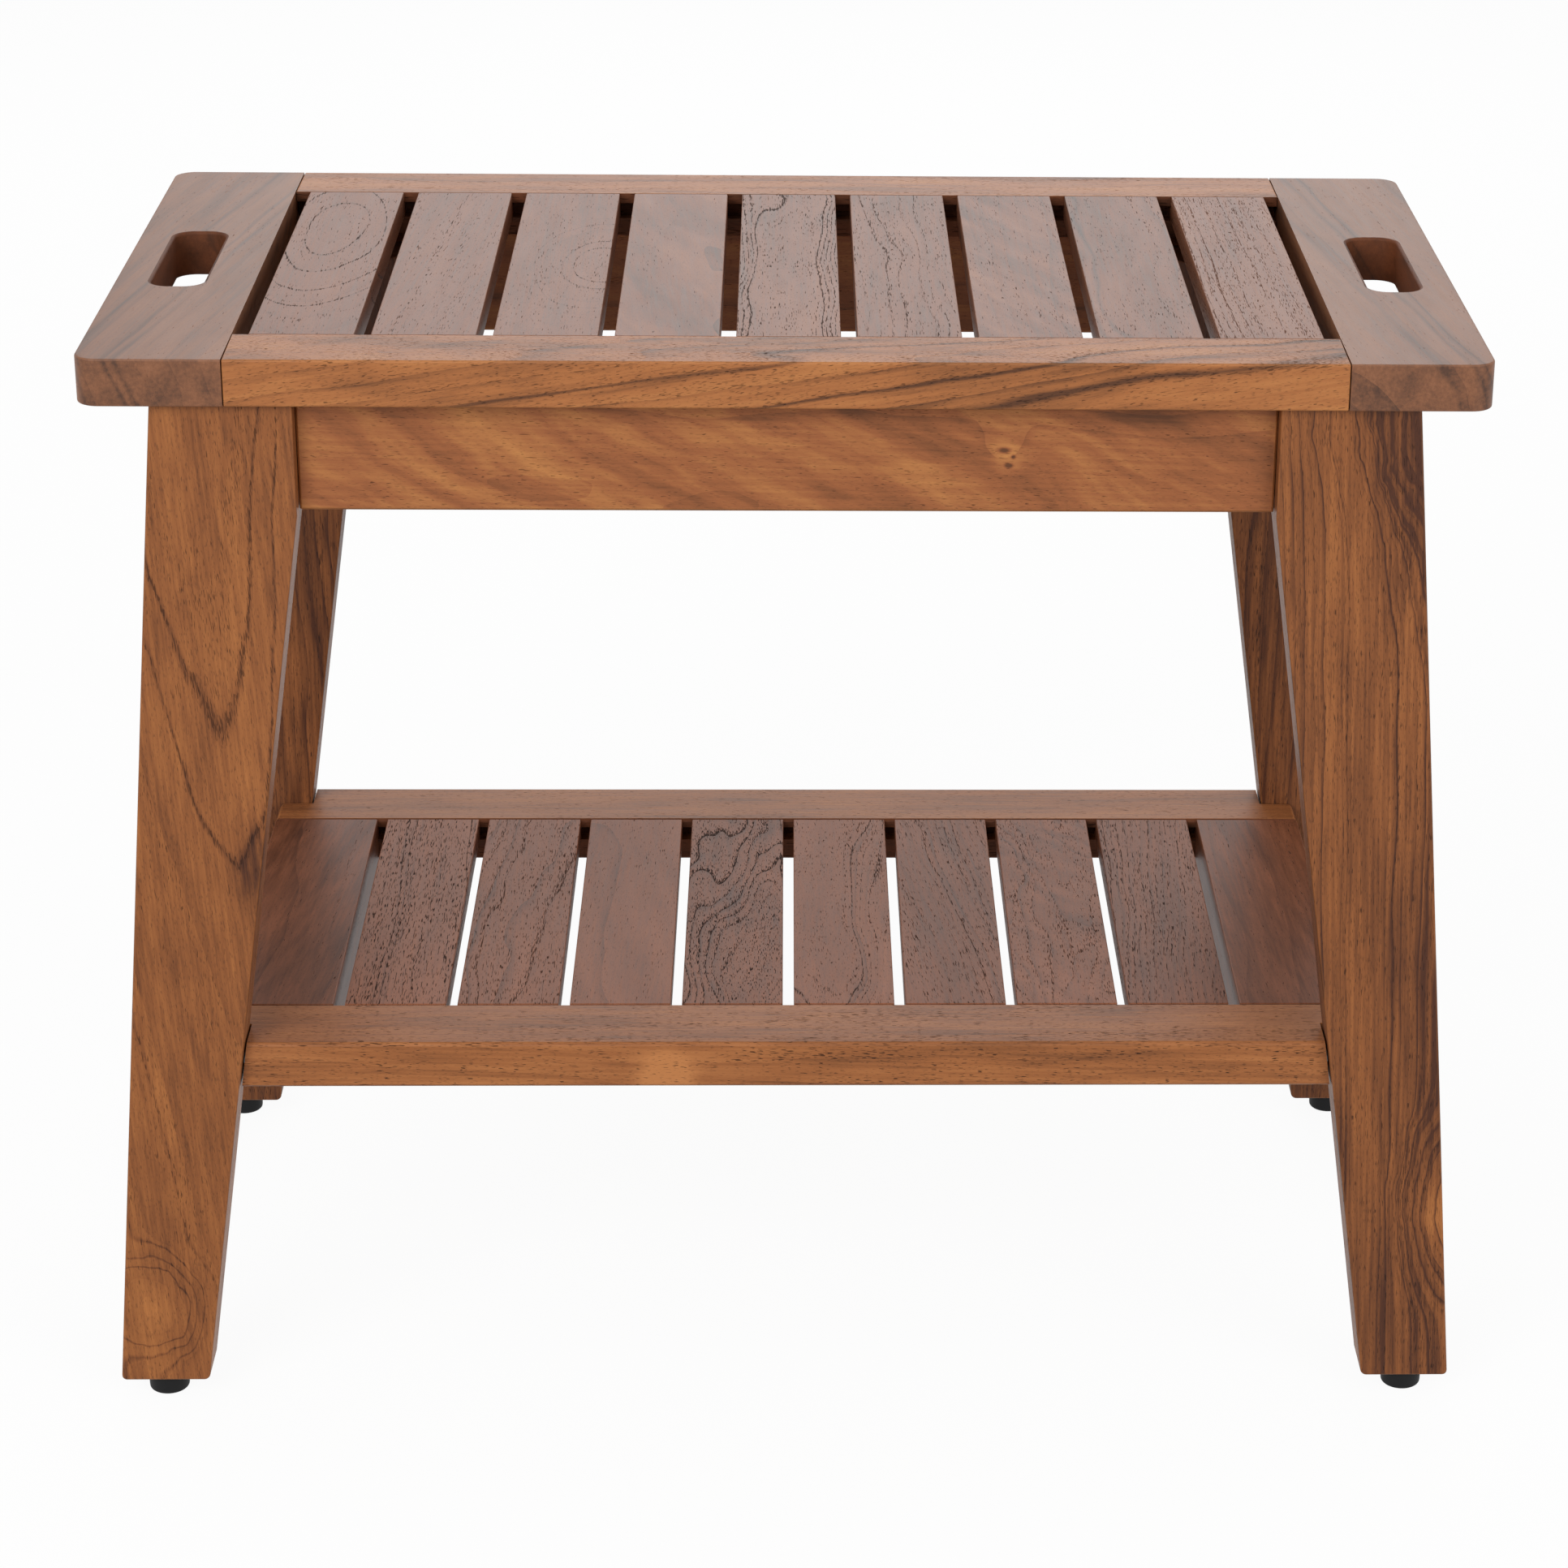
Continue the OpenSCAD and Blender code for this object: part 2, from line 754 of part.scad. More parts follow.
module seat_leg_dowels() {
    color(dowel_beech)
        at_each_corner()
            translate([leg_dowel_x, -leg_mid_y, leg_dowel_z])
                dowel("z");
}

module apron_dowels() {
    color(dowel_beech)
        at_each_corner()
            for (i = [1, 3])
                translate([leg_in_top_x, -apron_mid_y, knee_z + i * apron_step])
                    dowel("x");
}

module side_apron_dowels() {
    color(dowel_beech)
        at_each_corner()
            for (i = [2, 4])
                translate([side_apron_mid_x, -leg_back_y, knee_z + i * apron_step])
                    dowel("y");
}

end_board(left);  // end_board_left
end_board(right);  // end_board_right
seat_rail(front);  // seat_rail_front
seat_rail(rear);  // seat_rail_rear
for (i = [1:seat_slat_count])
    seat_slat(i);
leg(left, front);  // leg_front_left
leg(right, front);  // leg_front_right
leg(left, rear);  // leg_rear_left
leg(right, rear);  // leg_rear_right
apron(front);  // apron_front
apron(rear);  // apron_rear
side_apron(left);  // apron_left
side_apron(right);  // apron_right
corner_block(left, front);  // corner_block_front_left
corner_block(right, front);  // corner_block_front_right
corner_block(left, rear);  // corner_block_rear_left
corner_block(right, rear);  // corner_block_rear_right
shelf_rail(front);  // shelf_rail_front
shelf_rail(rear);  // shelf_rail_rear
shelf_end(left);  // shelf_end_left
shelf_end(right);  // shelf_end_right
for (i = [1:shelf_slat_count])
    shelf_slat(i);
foot(left, front);  // foot_front_left
foot(right, front);  // foot_front_right
foot(left, rear);  // foot_rear_left
foot(right, rear);  // foot_rear_right
foot_washers();
foot_screws();
block_screws();
seat_screws();
shelf_bolts();
shelf_barrel_nuts();
bolt_plugs();
seat_rail_dowels();
seat_leg_dowels();
apron_dowels();
side_apron_dowels();
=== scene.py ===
"""Dresses the slatted teak bench and sets it in a plain studio.

Every visible board is shaped again with rounded arrises in the place of its solid, and each one gets
its own cut of oiled teak. The hidden dowels, screws, bolts and nuts keep their solids.
Lengths are in metres unless a name or a comment says millimetres.
"""

from __future__ import annotations

import logging
import math
import random
from collections.abc import Iterable, Mapping, Sequence
from dataclasses import dataclass
from enum import Enum
from functools import partial
from typing import Any

import bmesh
import bpy
from bmesh.types import BMEdge, BMFace, BMVert
from bpy.types import Material, NodeSocket, NodeTree, Object
from mathutils import Euler, Matrix, Vector


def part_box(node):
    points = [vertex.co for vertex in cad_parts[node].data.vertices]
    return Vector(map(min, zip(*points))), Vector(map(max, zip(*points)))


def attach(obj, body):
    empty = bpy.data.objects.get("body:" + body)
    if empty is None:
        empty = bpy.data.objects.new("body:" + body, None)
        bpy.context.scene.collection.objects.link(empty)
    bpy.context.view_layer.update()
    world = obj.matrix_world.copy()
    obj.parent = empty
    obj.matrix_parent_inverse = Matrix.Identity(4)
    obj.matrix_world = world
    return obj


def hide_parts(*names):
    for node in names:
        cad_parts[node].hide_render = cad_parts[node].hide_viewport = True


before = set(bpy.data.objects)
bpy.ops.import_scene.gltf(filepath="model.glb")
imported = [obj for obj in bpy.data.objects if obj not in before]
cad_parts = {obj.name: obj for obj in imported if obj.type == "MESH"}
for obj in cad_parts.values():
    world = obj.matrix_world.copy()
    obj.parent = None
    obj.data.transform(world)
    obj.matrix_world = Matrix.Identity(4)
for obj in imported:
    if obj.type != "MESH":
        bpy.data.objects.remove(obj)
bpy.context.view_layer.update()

log = logging.getLogger("bench")

MM = 0.001
BODY = "root"
ARRIS = "arris"
WHITE = (1.0, 1.0, 1.0, 1.0)

# An edge that turns by more than this stays sharp. Points nearer than the two lengths lie on one line
# or on one face.
SHARP_TURN = math.radians(40)
ON_LINE = 0.01 * MM
ON_FACE = 0.1 * MM

SIDES = {"left": -1, "right": 1}
ENDS = {"front": -1, "rear": 1}
CORNERS = [(end, side) for end in ENDS for side in SIDES]


def linear(colour: str) -> tuple[float, float, float, float]:
    """Turns an sRGB hex colour into the linear values that shaders take.

    Args:
        colour: A colour such as "#9a6540".

    Returns:
        Red, green, blue and an alpha of 1.
    """
    parts = [int(colour[i:i + 2], 16) / 255 for i in (1, 3, 5)]
    red, green, blue = (p / 12.92 if p <= 0.04045 else ((p + 0.055) / 1.055) ** 2.4 for p in parts)
    return red, green, blue, 1.0


def add_node(
    tree: NodeTree,
    kind: str,
    inputs: Mapping[str | int, Any] | Sequence[Any] = (),
    out: str | int = 0,
    **settings: Any,
) -> NodeSocket | None:
    """Adds one node with its settings, values and links.

    Args:
        tree: Node tree that the node goes in.
        kind: Type of the node, then its operation if it has one, such as "Math ADD".
        inputs: Values, or sockets to link, in order or by name or number.
        out: The wanted output, by name or number.
        settings: Properties of the node itself.

    Returns:
        The wanted output, or None where the node has none.
    """
    kind, _, operation = kind.partition(" ")
    node = tree.nodes.new(f"ShaderNode{kind}")
    if operation:
        node.operation = operation
    for name, value in settings.items():
        setattr(node, name, value)
    pairs = inputs.items() if isinstance(inputs, Mapping) else enumerate(inputs)
    for key, value in pairs:
        socket = node.inputs[key]
        if isinstance(value, NodeSocket):
            tree.links.new(value, socket)
        else:
            socket.default_value = value
    return node.outputs[out] if node.outputs else None


def new_material(name: str) -> tuple[Material, NodeTree]:
    """Makes an empty node material.

    Args:
        name: The material's name.

    Returns:
        The material and its empty node tree.
    """
    material = bpy.data.materials.new(name)
    material.use_nodes = True
    material.node_tree.nodes.clear()
    return material, material.node_tree


class Lay(Enum):
    """How a board lies: the axis along its grain, then the axis across its face."""

    RAIL = ("X", "Y")
    APRON = ("X", "Z")
    SLAT = ("Y", "X")
    SIDE_APRON = ("Y", "Z")
    LEG = ("Z", "X")

    def turn(self) -> Matrix:
        """Turns the log, with its grain along X, into the bench.

        Returns:
            The rotation.
        """
        axes = {"X": Vector((1, 0, 0)), "Y": Vector((0, 1, 0)), "Z": Vector((0, 0, 1))}
        grain, across = (axes[a] for a in self.value)
        return Matrix((grain, across, grain.cross(across))).transposed()


@dataclass(frozen=True)
class Mark:
    """A growth ring that stands out: its radius and half width in millimetres, and how it shows."""

    radius: float
    width: float = 0.7
    pores: float = 0.3
    shade: float = 0.15


@dataclass(frozen=True)
class Knot:
    """A knot: its place from the board's middle along the board's own axes, and how it shows.

    The place and the reach are in millimetres. Rings is how many rings it pushes aside, shade what
    it does to the tone, and stretch how much longer it is along the grain.
    """

    place: tuple[float, float, float]
    reach: float
    rings: float
    shade: float
    stretch: float = 1.0


@dataclass(frozen=True)
class Cut:
    """Where in its log a board was cut. Lengths are in millimetres, angles in degrees.

    Far to the side of the pith the rings run as straight lines. Close under the face, with a tilt,
    they make arches, and with a loop they close into ovals. Ring is how far they lie apart, and wave
    how far they wander. Bands are soft and broad, and drift is how far they turn off the grain.
    Streak is how dark single rings are, pores how dark the pores are, crowd how closely they gather
    on the rings, and scatter how many lie between them. Tone lightens the whole board, and slope is
    how much the tone rises in each metre along the grain.
    """

    aside: float
    below: float
    tilt: float = 0.0
    lean: float = 0.0
    ring: float = 5.0
    wave: float = 12.0
    loop: float = 0.0
    loop_at: float = 0.0
    streak: float = 0.5
    pores: float = 0.8
    crowd: float = 1.0
    scatter: float = 0.0
    tone: float = 0.0
    bands: float = 1.0
    drift: float = 0.0
    slope: float = 0.0
    knots: tuple[Knot, ...] = ()
    marks: tuple[Mark, ...] = ()


@dataclass(frozen=True)
class Depth:
    """How strongly the bands, the mottle, the fibre and the end grain change the tone."""

    bands: float = 1.3
    mottle: float = 0.5
    fibre: float = 0.6
    end_grain: float = 0.12


@dataclass(frozen=True)
class Pattern:
    """A noise drawn out along the grain.

    Length and width are those of its features, in millimetres. Detail is how many finer layers it
    has, and start the share of the board's own offset that keeps it apart from the other noises.
    """

    length: float
    width: float
    detail: float = 0.0
    start: float = 2.3


RING_BENDS = Pattern(170, 48, detail=2, start=1.7)
KNOT_EDGES = Pattern(20, 14, detail=2, start=5.3)
FIBRES = Pattern(55, 1.5, detail=4, start=1.0)
PORE_PATCHES = Pattern(70, 13, detail=1, start=3.1)
SOFT_BANDS = Pattern(150, 16, detail=4, start=0.7)
MOTTLE = Pattern(34, 9, detail=3, start=1.3)
# Real short pores are about 0.1 mm wide. These are wider, so that they show.
SHORT_PORES = Pattern(2.4, 0.5, start=4.1)


class Figure:
    """The grain of one board, worked out in its node tree from where the board was cut."""

    OFFSETS = 90
    NOISE_ROUGHNESS = 0.55
    # How far the rings sway, in shares of the cut's wave, and a knot's limit, in shares of its reach.
    SWAY = 2.5
    RAGGED = 0.22
    # Powers: how rare strong rings are, how close pores keep to a ring's start and streaks to its end,
    # how small a knot's heart is, and how squarely end grain has to be seen to darken.
    RARE = 2.5
    EARLY = 5.0
    LATE = 4.0
    HEART = 6.0
    END_ON = 4.0
    # Pores on a ring by chance and always, and pores between rings in patches and all over.
    ON_RINGS = (0.16, 0.04)
    BETWEEN = (0.2, 0.07)
    # Levels of the noise between which a pore begins, for long and for short ones.
    LONG_LEVELS = (0.86, 0.92)
    SHORT_LEVELS = (0.62, 0.74)
    # How dark late wood is: with the cut's streak, and always.
    LATE_SHADES = (-0.6, -0.05)

    def __init__(
        self, tree: NodeTree, board: str, centre: Vector, lay: Lay, cut: Cut
    ) -> None:
        """Sets the board in its log and counts the growth rings outward from the pith.

        Args:
            tree: Node tree that the grain is worked out in.
            board: Name of the board, which seeds its figure.
            centre: Middle of the board.
            lay: How the board lies.
            cut: Where in the log it was cut.
        """
        seed = random.Random(board)
        self.add = add = partial(add_node, tree)
        self.cut = cut
        self.offset = Vector([seed.uniform(0, self.OFFSETS) for _ in range(3)])
        lean = Euler((0.0, math.radians(cut.tilt), math.radians(cut.lean))).to_matrix()
        self.turn = lay.turn() @ lean
        from_pith = Vector((-cut.loop_at, cut.aside, cut.below))
        pith = centre - self.turn @ (from_pith * MM)
        in_log = (add("TexCoord", out="Object"), pith, self.turn.to_euler(), (MM, MM, MM))
        self.in_log = add("Mapping", in_log, vector_type="TEXTURE")
        bends = add("VectorMath SUBTRACT", (self.noise(RING_BENDS, out="Color"), (0.5, 0.5, 0.5)))
        sway = (0.0, cut.wave * self.SWAY, cut.wave * self.SWAY)
        self.wavy = add("VectorMath MULTIPLY_ADD", (bends, sway, self.in_log))
        across = add("VectorMath MULTIPLY", (self.wavy, (cut.loop, 1, 1)))
        self.radius = add("VectorMath LENGTH", (across,), out="Value")
        self.near_knots = []
        for knot in cut.knots:
            away = self.turn.transposed() @ lay.turn() @ Vector(knot.place)
            near = self.near_knot(from_pith + away, knot)
            self.radius = add("Math MULTIPLY_ADD", (near, knot.rings * cut.ring, self.radius))
            self.near_knots.append(near)
        count = add("Math DIVIDE", (self.radius, cut.ring))
        self.in_ring = add("Math FRACT", (count,))
        number = add("Math ADD", (count, self.offset.x))
        number = add("Math SUBTRACT", (number, self.in_ring))
        luck = add("TexWhiteNoise", {"W": number}, noise_dimensions="1D")
        self.chance = add("Math POWER", (luck, self.RARE))
        self.marked = [self.marked_ring(mark) for mark in cut.marks]
        self.fibre = self.noise(FIBRES)

    def noise(
        self, pattern: Pattern, source: NodeSocket | None = None, out: str = "Fac"
    ) -> NodeSocket:
        """Draws a noise in the log.

        Args:
            pattern: Its pattern.
            source: Place in the log, or None for the plain one.
            out: The wanted output of the noise.

        Returns:
            The noise.
        """
        across = 1 / pattern.width
        place = (source or self.in_log, (1 / pattern.length, across, across), self.offset * pattern.start)
        place = self.add("VectorMath MULTIPLY_ADD", place)
        fineness = {"Scale": 1.0, "Detail": pattern.detail, "Roughness": self.NOISE_ROUGHNESS}
        return self.add("TexNoise", {"Vector": place, **fineness}, out=out)

    def near_knot(self, heart: Vector, knot: Knot) -> NodeSocket:
        """Measures how near a knot's heart is, with a ragged limit.

        Args:
            heart: Place of its heart in the log.
            knot: The knot.

        Returns:
            1 in the heart, falling to 0 at its reach.
        """
        shift = Vector((1, 1, 1)) * self.RAGGED * knot.reach
        ragged = (self.noise(KNOT_EDGES, out="Color"), shift, self.in_log)
        ragged = self.add("VectorMath MULTIPLY_ADD", ragged)
        squeeze = Vector((1 / knot.stretch, 1, 1))
        away = (ragged, squeeze, -(Matrix.Diagonal(squeeze) @ (heart + shift / 2)))
        away = self.add("VectorMath MULTIPLY_ADD", away)
        away = self.add("VectorMath LENGTH", (away,), out="Value")
        limits = (away, knot.reach, 0.0, 0.0, 1.0)
        return self.add("MapRange", limits, interpolation_type="SMOOTHERSTEP")

    def marked_ring(self, mark: Mark) -> NodeSocket:
        """Finds a marked ring.

        Args:
            mark: The ring.

        Returns:
            1 on the ring, falling to 0 beside it.
        """
        off = self.add("Math SUBTRACT", (self.radius, mark.radius))
        off = self.add("Math ABSOLUTE", (off,))
        return self.add("MapRange", (off, 0.0, mark.width, 1.0, 0.0))

    def pores(self, dash: tuple[float, float]) -> NodeSocket:
        """Scatters dashes along the grain, crowded where a ring begins, a little wider than real.

        Args:
            dash: Length and width of the noise that the dashes are cut from, in millimetres.

        Returns:
            1 in a pore and 0 beside it.
        """
        add, cut = self.add, self.cut
        early = add("Math SUBTRACT", (1.0, self.in_ring))
        early = add("Math POWER", (early, self.EARLY))
        share = add("Math MULTIPLY_ADD", (self.chance, *(part * cut.crowd for part in self.ON_RINGS)))
        patchy, everywhere = self.BETWEEN
        crowd = (self.noise(PORE_PATCHES), patchy, everywhere * cut.scatter)
        crowd = add("Math MULTIPLY_ADD", crowd)
        rings = [(ring, mark.pores) for ring, mark in zip(self.marked, cut.marks)]
        for ring, pores in [(early, share), *rings]:
            crowd = add("Math MULTIPLY_ADD", (ring, pores, crowd))
        dashes = add("Math ADD", (self.noise(Pattern(*dash)), crowd))
        return add("MapRange", (dashes, *self.LONG_LEVELS, 0.0, 1.0))

    def short_pores(self) -> NodeSocket:
        """Scatters the short fine pores between the long ones."""
        return self.add("MapRange", (self.noise(SHORT_PORES), *self.SHORT_LEVELS, 0.0, 1.0))

    def tone(self, depth: Depth) -> NodeSocket:
        """Adds up what makes the wood lighter or darker, with 0.5 as its plain tone.

        Args:
            depth: How strongly each of its causes shows.

        Returns:
            The tone, 0 to 1 where nothing is at its limit.
        """
        add, cut = self.add, self.cut
        turned = {"Vector": self.wavy, "Angle": math.radians(cut.drift)}
        off_grain = add("VectorRotate", turned, rotation_type="Z_AXIS")
        late = add("Math POWER", (self.in_ring, self.LATE))
        streaked, plain = self.LATE_SHADES
        streak = add("Math MULTIPLY_ADD", (self.chance, streaked * cut.streak, plain))
        facing = (add("NewGeometry", out="True Normal"), self.turn.col[0])
        facing = add("VectorMath DOT_PRODUCT", facing, out="Value")
        hearts = [add("Math POWER", (near, self.HEART)) for near in self.near_knots]
        noises = [
            (self.noise(SOFT_BANDS, off_grain), depth.bands * cut.bands),
            (self.noise(MOTTLE, off_grain), depth.mottle),
            (self.fibre, depth.fibre),
        ]
        causes = [
            *noises,
            (add("SeparateXYZ", (self.in_log,)), cut.slope * MM),
            (late, streak),
            *((ring, -mark.shade) for ring, mark in zip(self.marked, cut.marks)),
            *((heart, knot.shade) for heart, knot in zip(hearts, cut.knots)),
            (add("Math POWER", (facing, self.END_ON)), -depth.end_grain),
        ]
        tone = 0.5 + cut.tone - 0.5 * sum(share for _, share in noises)
        for cause, share in causes:
            tone = add("Math MULTIPLY_ADD", (cause, share, tone))
        return tone


@dataclass(frozen=True)
class Teak:
    """Solid teak, planed, sanded and oiled to a satin surface.

    The heartwood is golden to reddish brown. Its large open pores show as fine dark dashes that
    gather along the growth rings, and the oil gives a soft sheen at low angles. The reliefs are in
    millimetres.
    """

    name: str
    slot: str
    light: str
    middle: str
    dark: str
    pore: str = "#24150f"
    roughness: float = 0.46
    dash: tuple[float, float] = (7.0, 0.5)
    fine: float = 0.3
    sheen: float = 0.4
    depth: Depth = Depth()
    ior: float = 1.47
    # Painted highlight: how far the rounded arrises are lightened towards the light colour.
    arris_highlight: float = 0.2
    fibre_dulls: float = 0.12
    pore_dulls: float = 0.4
    fibre_relief: float = 0.04
    pore_relief: float = -0.2
    bump: float = 0.6

    def material(self, board: str, centre: Vector, lay: Lay, cut: Cut) -> Material:
        """Makes the material of one board.

        Args:
            board: Name of the board, which also seeds its figure.
            centre: Middle of the board.
            lay: How the board lies.
            cut: Where in the log the board was cut.

        Returns:
            The material.
        """
        material, tree = new_material(f"{self.name}_{board}")
        figure = Figure(tree, board, centre, lay, cut)
        add, fibre = figure.add, figure.fibre
        tone = figure.tone(self.depth)
        pore = figure.pores(self.dash)
        arris = add("Attribute", out="Fac", attribute_name=ARRIS)
        coats = [
            (add("Math MULTIPLY", (tone, 2.0), use_clamp=True), self.middle),
            (add("Math MULTIPLY_ADD", (tone, 2.0, -1.0), use_clamp=True), self.light),
            (add("Math MULTIPLY", (figure.short_pores(), self.fine)), self.pore),
            (add("Math MULTIPLY", (pore, cut.pores)), self.pore),
            # Painted highlight along the rounded arrises, mixed towards the light colour.
            (add("Math MULTIPLY", (arris, self.arris_highlight)), self.light),
        ]
        colour = linear(self.dark)
        for share, hue in coats:
            colour = add("Mix", {0: share, 6: colour, 7: linear(hue)}, out=2, data_type="RGBA")
        plain = self.roughness - self.fibre_dulls / 2
        dull = add("Math MULTIPLY_ADD", (fibre, self.fibre_dulls, plain))
        relief = add("Math MULTIPLY", (fibre, self.fibre_relief))
        relief = add("Math MULTIPLY_ADD", (pore, self.pore_relief, relief))
        surface = {
            "Base Color": colour,
            "Roughness": add("Math MULTIPLY_ADD", (pore, self.pore_dulls, dull)),
            "Normal": add("Bump", {"Strength": self.bump, "Distance": MM, "Height": relief}),
            "IOR": self.ior,
            "Specular IOR Level": self.sheen,
        }
        add("OutputMaterial", (add("BsdfPrincipled", surface),))
        return material


@dataclass(frozen=True)
class Skin:
    """A finish without grain: its colour clouds softly, and its surface is finely marked.

    Patch and mark are the sizes of the clouds and of the marks. Roughness is how much the clouds add
    to it, then its least value.
    """

    name: str
    colour: str
    clouded: str
    patch: float
    detail: float
    mark: float
    roughness: tuple[float, float]
    bump: float
    relief: float
    gloss: tuple[tuple[str, float], ...]
    mark_detail: float = 2.0

    def material(self) -> Material:
        """Makes the finish's material.

        Returns:
            The material.
        """
        material, tree = new_material(self.name)
        add = partial(add_node, tree)
        place = add("TexCoord", out="Object")
        clouds, marks = (
            add("TexNoise", {"Vector": place, "Scale": 1 / size, "Detail": detail})
            for size, detail in ((self.patch, self.detail), (self.mark, self.mark_detail))
        )
        shades = {0: clouds, 6: linear(self.colour), 7: linear(self.clouded)}
        surface = {
            "Base Color": add("Mix", shades, out=2, data_type="RGBA"),
            "Roughness": add("Math MULTIPLY_ADD", (clouds, *self.roughness)),
            "Normal": add("Bump", {"Strength": self.bump, "Distance": self.relief, "Height": marks}),
            **dict(self.gloss),
        }
        add("OutputMaterial", (add("BsdfPrincipled", surface),))
        return material


# How much the tone varies on calm boards, on clouded ones and on ones with clear lines of fibre.
SMOOTH = Depth(bands=1.0, mottle=0.35, fibre=0.7)
MARBLED = Depth(bands=1.2, mottle=0.6, fibre=0.5)
STREAKED = Depth(bands=1.0, mottle=0.3, fibre=0.85)
# Seat slats: red-brown and even, with fine pores and the full sheen of the oil.
SEAT_TEAK = Teak(
    "oiled_seat_teak", "seat_teak", "#9a6648", "#7d4d35", "#442c1e",
    dash=(5.0, 0.42), fine=0.25, depth=SMOOTH,
)
# End boards: the same brown, a little lighter, with shorter pores.
END_TEAK = Teak(
    "oiled_end_board_teak", "seat_teak", "#9a694b", "#805338", "#4b3022",
    dash=(3.5, 0.45), fine=0.15, depth=SMOOTH,
)
# Seat rails: golden and lighter than the slats, with short pores and less sheen.
RAIL_TEAK = Teak(
    "oiled_rail_teak", "rail_teak", "#bc7e49", "#a3663a", "#56341f", dash=(3.0, 0.4), sheen=0.3
)
# Front and rear aprons: golden, and clouded with broad brown figure.
APRON_TEAK = Teak(
    "oiled_apron_teak", "rail_teak", "#bc7f48", "#965a35", "#5e3820",
    dash=(3.0, 0.4), fine=0.2, sheen=0.3, depth=MARBLED,
)
# Legs: orange-brown, with clear lines of fibre that run down to the foot.
LEG_TEAK = Teak(
    "oiled_leg_teak", "leg_teak", "#b0703d", "#8a532d", "#472514",
    dash=(5.0, 0.42), sheen=0.3, depth=STREAKED,
)
# Shelf boards: red-brown and softly banded, with very little sheen.
SHELF_TEAK = Teak(
    "oiled_shelf_teak", "shelf_teak", "#9e6345", "#824f36", "#4a2a1c",
    dash=(5.0, 0.42), fine=0.25, sheen=0.2, depth=Depth(bands=0.75, mottle=0.3, fibre=0.7),
)
# Shelf rails: golden brown with clear lines of fibre and little sheen.
SHELF_RAIL_TEAK = Teak(
    "oiled_shelf_rail_teak", "shelf_teak", "#b87948", "#995f37", "#4f301e",
    dash=(3.5, 0.4), sheen=0.25, depth=STREAKED,
)
# Side aprons and corner blocks: duller, and darker as painted shade under the seat.
SHADED_INNER_TEAK = Teak("oiled_inner_teak_painted_shade", "inner_teak", "#8c5634", "#6e4228", "#3a2116", roughness=0.55)
# Teak on the rails' inner faces, in their grooves and in the hand-holds: duller, and darker as painted
# shade in these recesses.
RECESS_SHADE_TEAK = Teak(
    "painted_shade_recess_teak", "seat_teak", "#7d472b", "#613721", "#342015", roughness=0.6, sheen=0.2
)
# Beech, planed and left bare: pale, even and dull, with short brown flecks.
BEECH = Teak(
    "planed_beech_dowel", "dowel_wood", "#dcc09a", "#cdae84", "#b08c62",
    pore="#8a6844", roughness=0.6,
)
# Steel, zinc plated and passivated: bright grey, a little cloudy, with fine turning marks.
ZINC_STEEL = Skin(
    "zinc_plated_steel", "#8f9295", "#b4b7ba", patch=2.5 * MM, detail=4.0, mark=0.2 * MM,
    roughness=(0.25, 0.22), bump=0.2, relief=0.05 * MM, gloss=(("Metallic", 1.0),),
)
# Black rubber, compression moulded: matt and near black, with a fine pitted skin.
BLACK_RUBBER = Skin(
    "moulded_black_rubber", "#0a0a0b", "#171718", patch=6.0 * MM, detail=3.0, mark=0.7 * MM,
    roughness=(0.2, 0.5), bump=0.3, relief=0.1 * MM,
    gloss=(("IOR", 1.52), ("Specular IOR Level", 0.2)),
)

